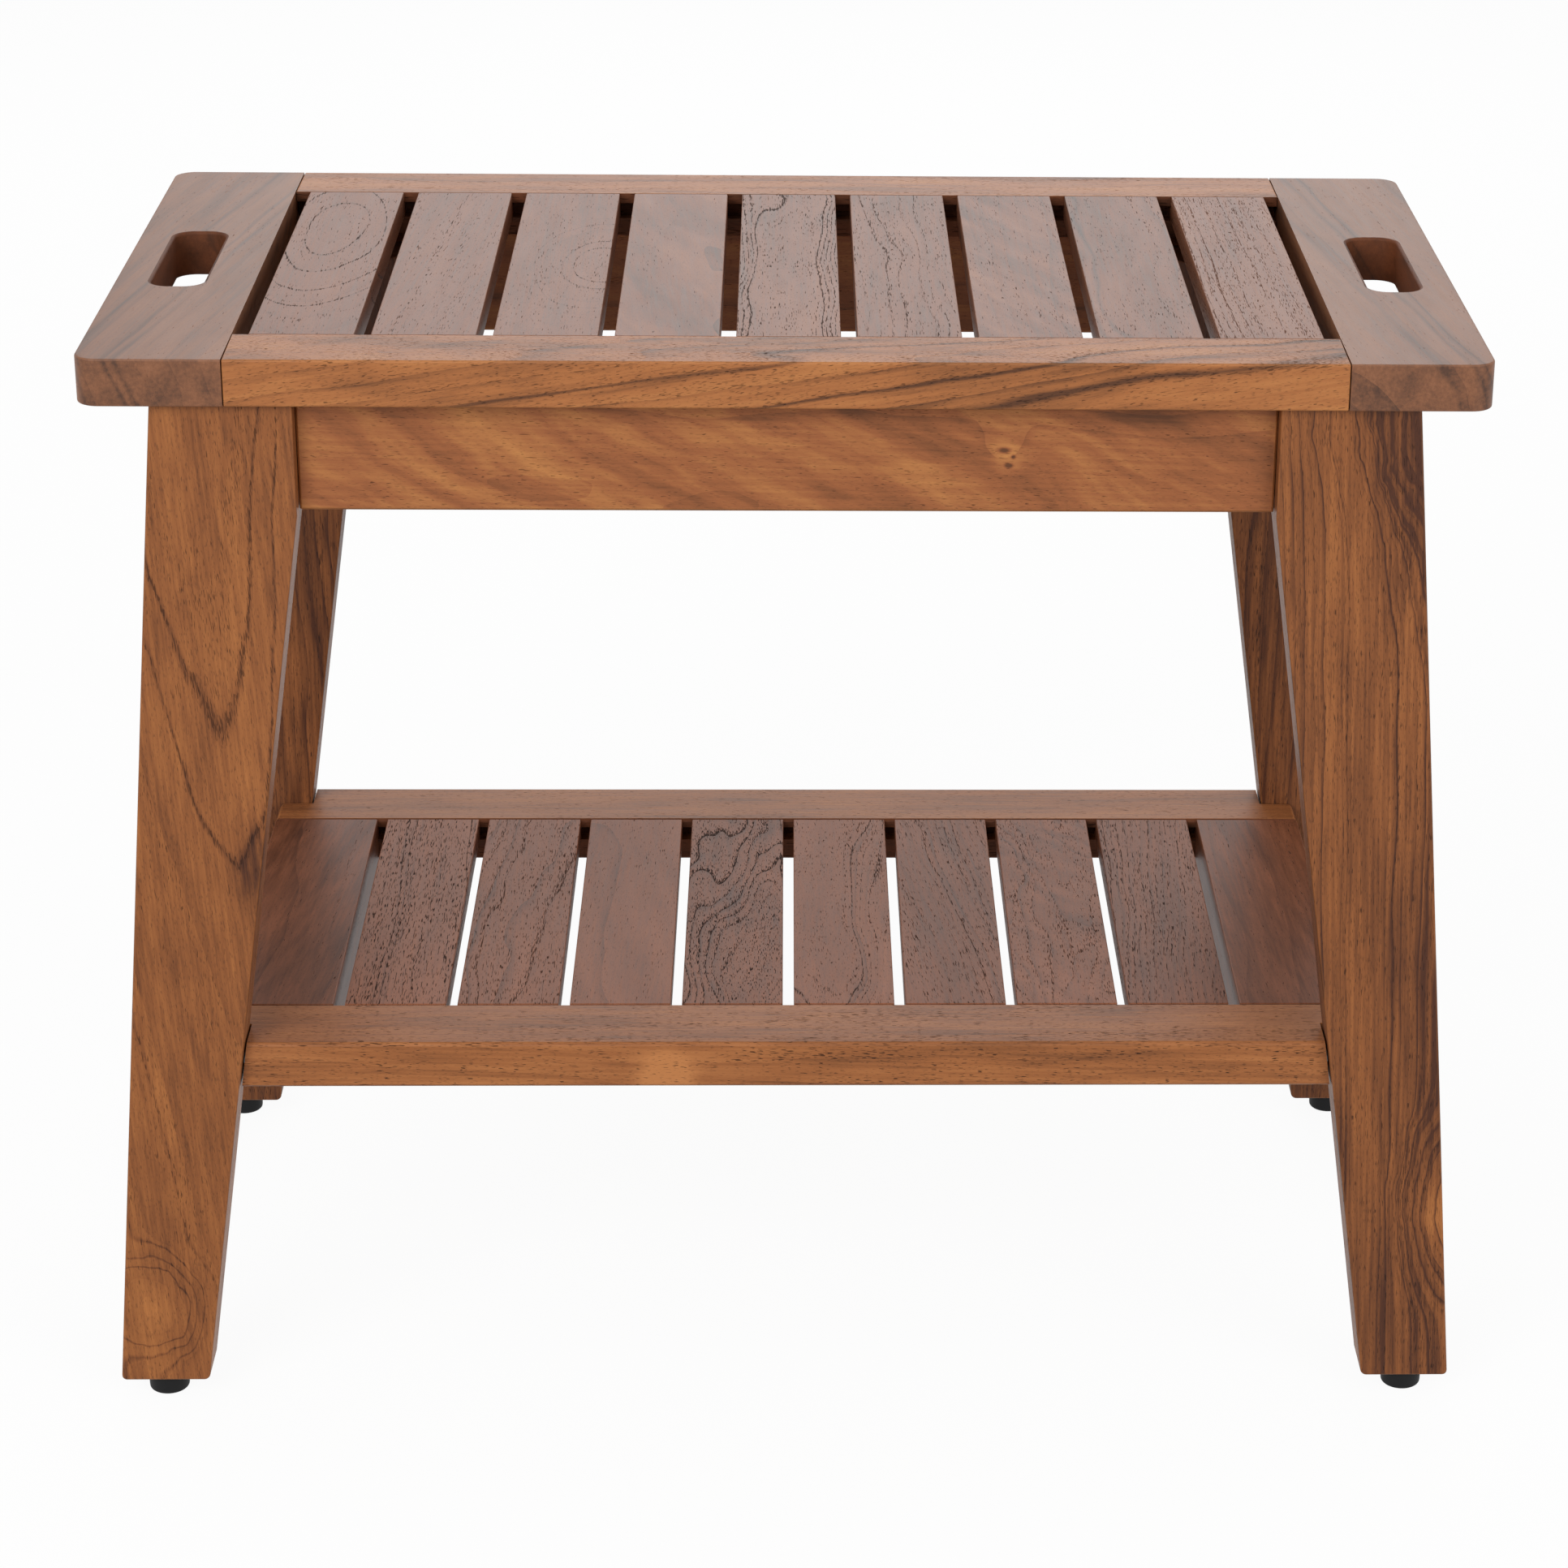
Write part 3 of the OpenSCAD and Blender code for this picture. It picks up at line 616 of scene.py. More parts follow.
# The cut of each board, by its node. Small hidden pieces have none of their own.
PLAIN_CUT = Cut(30, 30, ring=4)
DOWEL_CUT = Cut(40, 60, ring=3, streak=0.2, pores=0.3)
CUTS: Mapping[str, Cut] = {
    "end_board_left": Cut(
        75, -35, tilt=1, lean=9, ring=12, wave=5, streak=0.5, pores=0.4, crowd=0.2, scatter=-0.5,
        marks=(
            Mark(68, 3, 0, 0.15), Mark(79.6, 2, 0, 0.3), Mark(95, 1.5, 0, 0.25), Mark(99.7, 2, 0, 0.3)
        ),
    ),
    "end_board_right": Cut(
        70, -45, tilt=-1.5, lean=-7, ring=13, wave=7, streak=0.5, pores=0.4, crowd=0.2, scatter=-0.5,
        marks=(Mark(74, 2.5, 0, 0.2), Mark(86, 2, 0, 0.3), Mark(91, 1.5, 0, 0.2)),
    ),
    "seat_rail_front": Cut(
        26, 60, tilt=-9, ring=9, wave=9, streak=0.6, pores=0.6, scatter=0.6, crowd=0.8,
        marks=(Mark(53.6, 1.5, 0.08, 0.4), Mark(38.5, 2.5, 0.08, 0.5), Mark(71, 1, 0.1, 0.25)),
    ),
    "seat_rail_rear": Cut(-34, 46, tilt=-1, ring=8, wave=8, streak=0.3, pores=0.6, scatter=0.3),
    "seat_slat_1": Cut(
        4, 7, loop=0.31, loop_at=55, ring=8, wave=8, streak=0.1, crowd=0.8, bands=0.5,
        marks=(Mark(15, 0.6), Mark(24, 0.6), Mark(34, 0.6), Mark(42, 0.5)),
    ),
    "seat_slat_2": Cut(70, 40, tilt=1, lean=4, ring=9, wave=5, streak=0.1, bands=0.5, crowd=0.8),
    "seat_slat_3": Cut(
        -19, 5, loop=0.42, loop_at=-8, ring=9, wave=8, streak=0.1, crowd=0.6, bands=0.8,
        marks=(Mark(12.5, 0.5), Mark(17.5, 0.5, 0.22), Mark(31, 0.4, 0.15)),
    ),
    "seat_slat_4": Cut(
        -34, 40, tilt=3, lean=-4, ring=12, wave=16, crowd=0.3, scatter=-0.6, bands=1.3, drift=8
    ),
    "seat_slat_5": Cut(
        -1, 15, tilt=1, ring=4, wave=14, streak=0.3, crowd=1.6, scatter=0.3,
        marks=(Mark(16, 0.5), Mark(18.5, 0.5), Mark(21, 0.5), Mark(23.5, 0.5), Mark(26, 0.5)),
    ),
    "seat_slat_6": Cut(60, 50, tilt=1.5, ring=4, wave=9, streak=0.2, crowd=2, scatter=0.2),
    "seat_slat_7": Cut(
        -75, 35, tilt=0.5, lean=-1.5, ring=8, wave=8, streak=0.3, crowd=0.6, bands=1.5, drift=25
    ),
    "seat_slat_8": Cut(
        50, 45, tilt=2, ring=9, streak=0.3, crowd=0.7,
        marks=(Mark(47.5, 1.5, 0.05, 0.4), Mark(51, 1, 0.05, 0.3)),
    ),
    "seat_slat_9": Cut(
        -50, 60, tilt=-1, ring=3.2, wave=4, streak=0.2, pores=0.5, crowd=2.2, scatter=0.8, tone=0.12
    ),
    "leg_front_left": Cut(
        -20.5, 92.5, tilt=-3.3, lean=-4, ring=14, wave=3, streak=0.2, pores=0.6, crowd=0.6,
        tone=0.07, slope=-0.05, bands=0.8,
        marks=(
            Mark(73.8, 0.5, 0.3, 0.25), Mark(77.8, 0.4, 0.3, 0.25), Mark(101, 1, 0.15, 0.15),
            Mark(116, 1.5, 0.15, 0.3), Mark(128, 2, 0.1, 0.35), Mark(139, 1.5, 0.1, 0.35),
        ),
        knots=(
            Knot((-200, -32, -8), 36, 4, 0.35, 1.2), Knot((-199, -36, -10), 6, 0, -1.2, 1.5),
            Knot((24, 25, -10), 34, 0, -0.45, 2.2),
        ),
    ),
    "leg_front_right": Cut(
        70, 30, lean=-2.6, ring=4, wave=5, streak=1.5, pores=0.7, crowd=1.3, scatter=0.4, slope=0.3,
        tone=-0.1,
        knots=(
            Knot((240, 14, -8), 70, 8, -0.15, 1.1), Knot((212, 24, -8), 56, 5, 0, 2.2),
            Knot((222, 16, -8), 96, 0, -0.28, 1.2), Knot((176, 21, -8), 56, 0, -0.34, 3.2),
            Knot((-150, 43, -8), 34, 8, 0.7, 2.2),
        ),
        marks=(
            Mark(98, 2, 0.1, 0.25), Mark(106, 4, 0.05, 0.25), Mark(116, 3.5, 0.05, 0.25),
            Mark(125, 2.5, 0.1, 0.25), Mark(84, 0.8, 0.15, 0.3), Mark(62, 0.8, 0.15, 0.25),
        ),
    ),
    "leg_rear_left": Cut(40, 50, tilt=1, ring=6, wave=8, streak=1, scatter=0.5, tone=-0.2),
    "leg_rear_right": Cut(-44, 42, tilt=-1, ring=6.5, wave=8, streak=1, scatter=0.5, tone=-0.25),
    "bolt_plugs": Cut(30, 40),
    "apron_front": Cut(
        18, 40, tilt=0.8, lean=-1.5, ring=11, wave=14, streak=0.3, pores=0.6, crowd=0.3, drift=30,
        slope=-0.3, tone=0.03,
        knots=(
            Knot((95, 0, 9), 24, 1.5, 0.5), Knot((94, 3, 9), 5, 0, -1.2, 2),
            Knot((96, -4, 9), 4, 0, -1.3, 1.6), Knot((98, 0, 9), 3.5, 0, -1.2),
            Knot((150, 18, 9), 26, 1, -0.35, 3),
        ),
    ),
    "apron_rear": Cut(-30, 40, tilt=-0.8, ring=8, streak=0.6, pores=0.6),
    "apron_left": Cut(40, 30, tilt=1, ring=7, wave=9, streak=0.4, pores=0.5),
    "apron_right": Cut(-40, 34, tilt=1, ring=7, wave=9, streak=0.4, pores=0.5),
    "shelf_rail_front": Cut(
        -20, 40, tilt=1.2, ring=9, wave=10, streak=0.4, scatter=0.6, tone=0.06,
        knots=(Knot((-57, -21, -9), 42, 0.5, 1),),
    ),
    "shelf_rail_rear": Cut(30, 44, tilt=-1, ring=8, wave=9, streak=0.3, crowd=0.6),
    "shelf_end_left": Cut(
        34, 44, tilt=3, lean=5, ring=10, wave=9, streak=0.3, scatter=-0.5, tone=-0.12, drift=-14
    ),
    "shelf_end_right": Cut(
        -40, 50, tilt=2, lean=-2, ring=9, wave=9, streak=0.3, scatter=-0.5, tone=-0.1, drift=12
    ),
    "shelf_slat_1": Cut(
        62, 36, tilt=1, ring=2.6, wave=8, streak=0.8, pores=0.9, crowd=2.6, scatter=1.4, tone=0.2
    ),
    "shelf_slat_2": Cut(
        -30, 50, tilt=2.5, ring=4.5, wave=10, streak=0.9, crowd=1.6, scatter=1, tone=0.1
    ),
    "shelf_slat_3": Cut(
        22, 60, tilt=3, lean=3, ring=8, wave=11, streak=0.9, crowd=0.6, tone=0.12, drift=12
    ),
    "shelf_slat_4": Cut(
        -8, 20, tilt=6, ring=3.6, wave=22, streak=0.8, pores=0.95, crowd=3, scatter=1, tone=-0.02
    ),
    "shelf_slat_5": Cut(
        10, 20, tilt=-5, wave=13, streak=0.7, scatter=0.3, tone=0.12,
        marks=(Mark(23, 0.5, 0.3, 0.35), Mark(27, 0.4, 0.2), Mark(31, 0.4, 0.25)),
    ),
    "shelf_slat_6": Cut(
        60, 46, tilt=1.5, lean=-6, ring=3.6, wave=8, streak=0.5, crowd=1.8, scatter=0.6
    ),
    "shelf_slat_7": Cut(
        -12, 26, tilt=-4, ring=4.5, wave=22, streak=0.8, crowd=1.6, scatter=0.4, tone=0.12,
        bands=1.8, drift=40,
    ),
    "shelf_slat_8": Cut(
        -66, 36, tilt=1, lean=2, ring=3.2, wave=8, streak=0.5, pores=0.9, crowd=2, scatter=0.9
    ),
}


class Blank:
    """A piece while it is shaped: a bmesh that remembers which faces are eased arrises."""

    ROUND = {"profile": 0.5, "material": -1}
    # Corners nearer than the first are one, and faces that turn by less than the second are flat.
    MERGED = 0.002 * MM
    FLAT = math.radians(0.5)
    # A chamfer's face leans by more than this, and its long edges turn by angles between these two.
    LEANS = 0.3
    CHAMFER_TURNS = (math.radians(30), math.radians(60))

    def __init__(self, node: str | None = None) -> None:
        """Starts from nothing, or from a merged copy of a solid's mesh.

        Args:
            node: Name of the solid, or None.
        """
        self.mesh = mesh = bmesh.new()
        if node is not None:
            mesh.from_mesh(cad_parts[node].data)
        self.eased = mesh.faces.layers.int.new("eased")
        if node is not None:
            bmesh.ops.remove_doubles(mesh, verts=mesh.verts, dist=self.MERGED)
            bmesh.ops.dissolve_limit(mesh, angle_limit=self.FLAT, verts=mesh.verts, edges=mesh.edges)

    def outline(self, corners: Iterable[Vector]) -> BMFace:
        """Makes one face from its corners in order."""
        return self.mesh.faces.new([self.mesh.verts.new(c) for c in corners])

    def round_corners(self, corners: Iterable[BMVert], radius: float, segments: int) -> None:
        """Rounds corners of a flat outline.

        Args:
            corners: The vertices to round.
            radius: Distance from the corner at which the round begins.
            segments: Number of edges along each round.
        """
        size = {"offset": radius, "segments": segments}
        bmesh.ops.bevel(self.mesh, geom=list(corners), affect="VERTICES", **size, **self.ROUND)

    def extrude(self, face: BMFace, reach: Vector) -> None:
        """Draws a lone face out into a closed prism.

        Args:
            face: The face.
            reach: Direction and length of the prism.
        """
        made = bmesh.ops.extrude_face_region(self.mesh, geom=[face])
        top = [e for e in made["geom"] if isinstance(e, BMVert)]
        bmesh.ops.translate(self.mesh, vec=reach, verts=top)
        bmesh.ops.recalc_face_normals(self.mesh, faces=self.mesh.faces)

    def convex_edges(self, turn: float = SHARP_TURN) -> list[BMEdge]:
        """Lists the outer edges that turn by more than an angle."""
        return [e for e in self.mesh.edges if e.calc_face_angle_signed(0.0) > turn]

    def ease(self, edges: Iterable[BMEdge], radius: float, segments: int = 3) -> None:
        """Rounds edges and remembers the new faces.

        Args:
            edges: The edges to round.
            radius: Radius of the round.
            segments: Number of faces across the round.
        """
        size = {"offset": radius, "segments": segments}
        made = bmesh.ops.bevel(self.mesh, geom=list(edges), affect="EDGES", **size, **self.ROUND)
        for face in made["faces"]:
            face[self.eased] = 1

    def soften(self, radius: float) -> None:
        """Rounds the two edges of each chamfer on a copy of a solid.

        Args:
            radius: Radius of the round at each edge of a chamfer.
        """
        slanted = {f for f in self.mesh.faces if sorted(abs(c) for c in f.normal)[1] > self.LEANS}
        for face in slanted:
            face[self.eased] = 1
        least, most = self.CHAMFER_TURNS
        lines = [
            e for e in self.convex_edges(least)
            if len(slanted.intersection(e.link_faces)) == 1 and e.calc_face_angle_signed(0.0) < most
        ]
        self.ease(lines, radius, 2)

    def finish(self, name: str, materials: Sequence[Material]) -> Object:
        """Turns the blank into a shown object with soft arrises.

        Args:
            name: Name of the object.
            materials: Its own material, then that of its inner faces if it has any.

        Returns:
            The object, at the origin.
        """
        # Marks the corners of the rounded arrises, which the teak lightens as a painted highlight.
        arris = self.mesh.verts.layers.float.new(ARRIS)
        for vert in self.mesh.verts:
            vert[arris] = float(all(f[self.eased] for f in vert.link_faces))
        for edge in self.mesh.edges:
            edge.smooth = abs(edge.calc_face_angle(0.0)) < SHARP_TURN
        for face in self.mesh.faces:
            face.smooth = True
        mesh = bpy.data.meshes.new(name)
        self.mesh.to_mesh(mesh)
        self.mesh.free()
        for material in materials:
            mesh.materials.append(material)
        shown = bpy.data.objects.new(name, mesh)
        bpy.context.scene.collection.objects.link(shown)
        weighted = shown.modifiers.new("soft_arrises", "WEIGHTED_NORMAL")
        weighted.mode = "FACE_AREA"
        weighted.keep_sharp = True
        return shown


@dataclass
class Assembly:
    """What the sub-assemblies of the bench share: how a shaped piece takes the place of a solid."""

    name: str

    def place(
        self, blank: Blank, node: str, materials: Sequence[Material], slot: str, label: str
    ) -> None:
        """Shows a shaped piece in the place of its solid.

        Args:
            blank: The shaped piece.
            node: Name of the solid that it stands for.
            materials: Its own material, then that of its inner faces if it has any.
            slot: The record's slot that its finish belongs to. It is not used.
            label: Name of the piece.
        """
        shown = blank.finish(label, materials)
        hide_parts(node)
        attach(shown, BODY)
        log.info("%s: %s, %d faces", self.name, label, len(shown.data.polygons))

    def board(self, blank: Blank, node: str, teak: Teak, lay: Lay) -> None:
        """Shows a board in its own cut of teak.

        Args:
            blank: The shaped board.
            node: Name of the solid that it stands for.
            teak: Its finish.
            lay: How it lies.
        """
        low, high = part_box(node)
        cut = CUTS.get(node, PLAIN_CUT)
        materials = [teak.material(node, (low + high) / 2, lay, cut)]
        # Faces marked as inner take the darker teak, whose colour is painted shade in recesses.
        if any(face.material_index for face in blank.mesh.faces):
            materials.append(RECESS_SHADE_TEAK.material(f"{node}_inside", (low + high) / 2, lay, cut))
        self.place(blank, node, materials, teak.slot, f"{node}_board")


@dataclass
class Slatted(Assembly):
    """A frame with a grooved rail at the front and rear and tongued slats between them."""

    slats: int = 9
    ease: float = 1.1 * MM
    joint_ease: float = 0.8 * MM
    slat_ease: float = 0.6 * MM
    lip: float = 5.0 * MM
    groove: float = 7.4 * MM
    groove_depth: float = 8.5 * MM
    tongue: float = 7.9 * MM
    fit: float = 0.2 * MM
    # A rail's face looks inward where its normal leans at least this much towards the slats.
    inward: float = 0.5

    def build_slats(self, teak: Teak) -> None:
        """Builds and dresses the slats.

        Args:
            teak: Their finish.
        """
        for number in range(1, self.slats + 1):
            node = f"{self.name}_slat_{number}"
            self.board(self.tongued(node), node, teak, Lay.SLAT)

    def tongued(self, node: str) -> Blank:
        """Shapes a slat with a tongue at each end. A thick one has a shoulder below it too.

        Args:
            node: Name of the slat's solid.

        Returns:
            The shaped slat.
        """
        low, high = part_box(node)
        tip, shoulder = high.y, high.y - self.tongue
        step, under = high.z - self.lip - self.fit, high.z - self.lip - self.groove
        right_half = [(shoulder, high.z), (shoulder, step), (tip, step), (tip, under)]
        if under - low.z > MM:
            right_half += [(shoulder, under), (shoulder, low.z)]
        section = right_half + [(-y, z) for y, z in reversed(right_half)]
        blank = Blank()
        face = blank.outline(Vector((low.x, y, z)) for y, z in section)
        blank.extrude(face, Vector((high.x - low.x, 0, 0)))
        blank.ease(blank.convex_edges(), self.slat_ease)
        return blank


@dataclass
class Seat(Slatted):
    """The seat: two end boards with hand-holds, two rails and the slats."""

    corner_radius: float = 10.0 * MM
    corner_segments: int = 10
    joint_round: float = 0.35 * MM
    slot_size: tuple[float, float] = (24.0 * MM, 95.0 * MM)
    slot_radius: float = 9.0 * MM
    slot_segments: int = 8
    slot_edge: float = 16.0 * MM
    rim: float = 1.4 * MM
    rim_steps: int = 4
    seam: float = 0.4 * MM
    clear_of_groove: float = 9.35 * MM

    def build(self) -> None:
        """Builds and dresses every piece of the seat."""
        for side, sign in SIDES.items():
            node = f"end_board_{side}"
            self.board(self.end_board(node, sign), node, END_TEAK, Lay.SLAT)
        for end, sign in ENDS.items():
            node = f"seat_rail_{end}"
            self.board(self.rail(node, sign), node, RAIL_TEAK, Lay.RAIL)
        self.build_slats(SEAT_TEAK)

    def rail(self, node: str, sign: int) -> Blank:
        """Shapes a seat rail with a groove along its inner edge.

        Args:
            node: Name of the rail's solid.
            sign: -1 for the front rail and 1 for the rear one.

        Returns:
            The shaped rail.
        """
        low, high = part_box(node)
        face_y, inner_y = (low.y, high.y) if sign < 0 else (high.y, low.y)
        bed_y = inner_y + sign * self.groove_depth
        upper, lower = high.z - self.lip, high.z - self.lip - self.groove
        section = [
            (face_y, high.z), (inner_y, high.z), (inner_y, upper), (bed_y, upper),
            (bed_y, lower), (inner_y, lower), (inner_y, low.z), (face_y, low.z),
        ]
        blank = Blank()
        face = blank.outline(Vector((low.x + self.seam, y, z)) for y, z in section)
        blank.extrude(face, Vector((high.x - low.x - 2 * self.seam, 0, 0)))
        long_edges = [e for e in blank.convex_edges() if abs(e.verts[0].co.x - e.verts[1].co.x) > MM]
        outer = [e for e in long_edges if abs(e.verts[0].co.y - face_y) < MM]
        inner = [e for e in long_edges if abs(e.verts[0].co.y - inner_y) < MM]
        blank.ease(outer, self.ease)
        # The inner faces and the groove are marked for the darker teak, painted shade between the parts.
        for face in blank.mesh.faces:
            inner_face = face.normal.y * sign < -self.inward
            in_groove = abs(face.calc_center_median().y - bed_y) < self.groove_depth
            face.material_index = int(inner_face or in_groove)
        blank.ease([e for e in inner if e.is_valid], self.joint_round)
        # The middle strip of a round may take either neighbour's finish, so it is given one.
        for face in blank.mesh.faces:
            if face.normal.y * sign < -self.inward:
                face.material_index = 1
        ends = [
            e for e in blank.convex_edges()
            if abs(e.verts[0].co.x - e.verts[1].co.x) < ON_LINE
            and max(abs(v.co.y - bed_y) for v in e.verts) > self.clear_of_groove
        ]
        blank.ease(ends, self.joint_ease)
        return blank

    def end_board(self, node: str, sign: int) -> Blank:
        """Shapes an end board with round outer corners and a hand-hold.

        Args:
            node: Name of the end board's solid.
            sign: -1 for the left board and 1 for the right one.

        Returns:
            The shaped end board.
        """
        low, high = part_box(node)
        outer_x, joint_x = (low.x, high.x) if sign < 0 else (high.x, low.x)
        blank = Blank()
        corners = [(joint_x, low.y), (outer_x, low.y), (outer_x, high.y), (joint_x, high.y)]
        face = blank.outline(Vector((x, y, low.z)) for x, y in corners)
        outer = [v for v in face.verts if abs(v.co.x - outer_x) < MM]
        blank.round_corners(outer, self.corner_radius, self.corner_segments)
        blank.extrude(blank.mesh.faces[:][0], Vector((0, 0, high.z - low.z)))
        rims = [e for e in blank.convex_edges() if abs(e.verts[0].co.z - e.verts[1].co.z) < ON_LINE]
        at_joint = [e for e in rims if max(abs(v.co.x - joint_x) for v in e.verts) < ON_FACE]
        blank.ease([e for e in rims if e not in at_joint], self.joint_ease)
        self.cut_slot(blank, low, high, outer_x - sign * (self.slot_edge + self.slot_size[0] / 2))
        return blank

    def cut_slot(self, blank: Blank, low: Vector, high: Vector, slot_x: float) -> None:
        """Opens the hand-hold through a board's top and bottom faces.

        Args:
            blank: The board.
            low: Its lowest corner.
            high: Its highest corner.
            slot_x: Place of the slot's middle.
        """
        mesh = blank.mesh
        top = max(mesh.faces, key=lambda f: (round(f.normal.z, 3), f.calc_area()))
        foot = max(mesh.faces, key=lambda f: (round(-f.normal.z, 3), f.calc_area()))
        borders = [list(top.edges), list(foot.edges)]
        bmesh.ops.delete(mesh, geom=[top, foot], context="FACES_ONLY")
        levels = []
        for step in range(self.rim_steps + 1):
            angle = math.radians(90) * step / self.rim_steps
            grow = self.rim * (1 - math.sin(angle))
            levels.append((grow, high.z - self.rim * (1 - math.cos(angle))))
        levels += [(grow, low.z + high.z - z) for grow, z in reversed(levels)]
        loops = [self.slot_loop(blank, slot_x, grow, z) for grow, z in levels]
        # The hand-hold's walls are marked for the darker teak, painted shade inside the hole.
        for upper, lower in zip(loops, loops[1:]):
            made = bmesh.ops.bridge_loops(mesh, edges=upper + lower)
            for face in made["faces"]:
                face[blank.eased] = 1
                face.material_index = 1
        for border, loop in zip(borders, (loops[0], loops[-1])):
            bmesh.ops.triangle_fill(mesh, edges=border + loop, use_beauty=True)
        bmesh.ops.recalc_face_normals(mesh, faces=mesh.faces)

    def slot_loop(self, blank: Blank, slot_x: float, grow: float, z: float) -> list[BMEdge]:
        """Draws the hand-hold's outline at one height.

        Args:
            blank: The board.
            slot_x: Place of the slot's middle.
            grow: How far the outline lies outside the slot's walls.
            z: Height of the outline.

        Returns:
            The outline's edges.
        """
        half_x, half_y = self.slot_size[0] / 2 + grow, self.slot_size[1] / 2 + grow
        before = set(blank.mesh.faces)
        corners = [(-1, -1), (1, -1), (1, 1), (-1, 1)]
        face = blank.outline(Vector((slot_x + sx * half_x, sy * half_y, z)) for sx, sy in corners)
        blank.round_corners(face.verts[:], self.slot_radius + grow, self.slot_segments)
        ring = next(f for f in blank.mesh.faces if f not in before)
        edges = list(ring.edges)
        bmesh.ops.delete(blank.mesh, geom=[ring], context="FACES_ONLY")
        return edges


@dataclass
class Legs(Assembly):
    """The four splayed legs and the plugs over their bolts."""

    ease: float = 1.0 * MM
    foot_radius: float = 2.5 * MM
    foot_segments: int = 5
    apron_height: float = 51.0 * MM
    top_width: float = 61.1 * MM
    foot_width: float = 41.4 * MM
    plug_rim: float = 0.3 * MM
    plug_proud: float = 0.15 * MM
    # A plug's outer face looks outward at least this much.
    facing: float = 0.9

    def build(self) -> None:
        """Builds and dresses the legs and their plugs."""
        for end, side in CORNERS:
            node = f"leg_{end}_{side}"
            self.board(self.leg(node, SIDES[side]), node, LEG_TEAK, Lay.LEG)
        node = "bolt_plugs"
        plug_teak = LEG_TEAK.material(node, Vector(), Lay.LEG, CUTS[node])
        self.place(self.plugs(node), node, [plug_teak], LEG_TEAK.slot, f"{node}_rimmed")

    def plugs(self, node: str) -> Blank:
        """Lifts the plugs a hair out of the legs' outer faces and rounds their rims.

        Args:
            node: Name of the plugs' solid.

        Returns:
            The four plugs.
        """
        blank = Blank(node)
        shown = [
            f for f in blank.mesh.faces
            if f.normal.x * f.calc_center_median().x > 0 and abs(f.normal.x) > self.facing
        ]
        rims = {e for f in shown for e in f.edges if e.calc_face_angle(0.0) > SHARP_TURN}
        for face in shown:
            bmesh.ops.translate(blank.mesh, vec=face.normal * self.plug_proud, verts=face.verts)
        blank.ease(rims, self.plug_rim, 2)
        return blank

    def leg(self, node: str, sign: int) -> Blank:
        """Shapes a leg: straight down to the apron's lower edge, then tapered to the foot.

        Args:
            node: Name of the leg's solid.
            sign: -1 for a left leg and 1 for a right one.

        Returns:
            The shaped leg.
        """
        low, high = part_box(node)
        inner, foot_out = (high.x, low.x) if sign < 0 else (low.x, high.x)
        outline = [
            (inner, high.z),
            (inner + sign * self.top_width, high.z),
            (foot_out, low.z),
            (foot_out - sign * self.foot_width, low.z),
            (inner, high.z - self.apron_height),
        ]
        blank = Blank()
        face = blank.outline(Vector((x, low.y, z)) for x, z in outline)
        feet = [v for v in face.verts if v.co.z < low.z + MM]
        blank.round_corners(feet, self.foot_radius, self.foot_segments)
        blank.extrude(blank.mesh.faces[:][0], Vector((0, high.y - low.y, 0)))
        blank.ease(blank.convex_edges(), self.ease)
        return blank


@dataclass
class Aprons(Assembly):
    """The apron frame under the seat, with a block in each inner corner."""

    round: float = 0.45 * MM
    block_ease: float = 0.8 * MM
    long_edge: float = 9.0 * MM
    seam: float = 0.5 * MM

    def build(self) -> None:
        """Builds and dresses the aprons and the corner blocks."""
        for end in ENDS:
            self.board(self.apron(f"apron_{end}", 0), f"apron_{end}", APRON_TEAK, Lay.APRON)
        # The side aprons and corner blocks take teak darkened as painted shade under the seat.
        for side in SIDES:
            self.board(self.apron(f"apron_{side}", 1), f"apron_{side}", SHADED_INNER_TEAK, Lay.SIDE_APRON)
        for end, side in CORNERS:
            node = f"corner_block_{end}_{side}"
            blank = Blank(node)
            long_edges = [e for e in blank.convex_edges() if e.calc_length() > self.long_edge]
            blank.ease(long_edges, self.block_ease, 2)
            self.board(blank, node, SHADED_INNER_TEAK, Lay.LEG)

    def apron(self, node: str, along: int) -> Blank:
        """Rounds the chamfers of an apron's solid, whose bores stay, and opens its end seams.

        Args:
            node: Name of the solid.
            along: Number of the axis that it lies along.

        Returns:
            The rounded copy.
        """
        low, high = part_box(node)
        blank = Blank(node)
        blank.soften(self.round)
        for end, inward in ((low, 1), (high, -1)):
            shift = Vector((0, 0, 0))
            shift[along] = inward * self.seam
            verts = [v for v in blank.mesh.verts if abs(v.co[along] - end[along]) < ON_FACE]
            bmesh.ops.translate(blank.mesh, vec=shift, verts=verts)
        return blank


@dataclass
class Shelf(Slatted):
    """The shelf: two rails notched round the legs, two thick outer boards and the inner slats."""

    slats: int = 8
    lip: float = 4.5 * MM
    groove: float = 6.9 * MM
    round: float = 0.45 * MM

    def build(self) -> None:
        """Builds and dresses every piece of the shelf."""
        for end, sign in ENDS.items():
            node = f"shelf_rail_{end}"
            blank = Blank(node)
            blank.soften(self.round)
            # The inner faces are marked for the darker teak, painted shade between the parts.
            for face in blank.mesh.faces:
                face.material_index = int(face.normal.y * sign < -self.inward)
            self.board(blank, node, SHELF_RAIL_TEAK, Lay.RAIL)
        for side in SIDES:
            node = f"shelf_end_{side}"
            self.board(self.tongued(node), node, SHELF_TEAK, Lay.SLAT)
        self.build_slats(SHELF_TEAK)


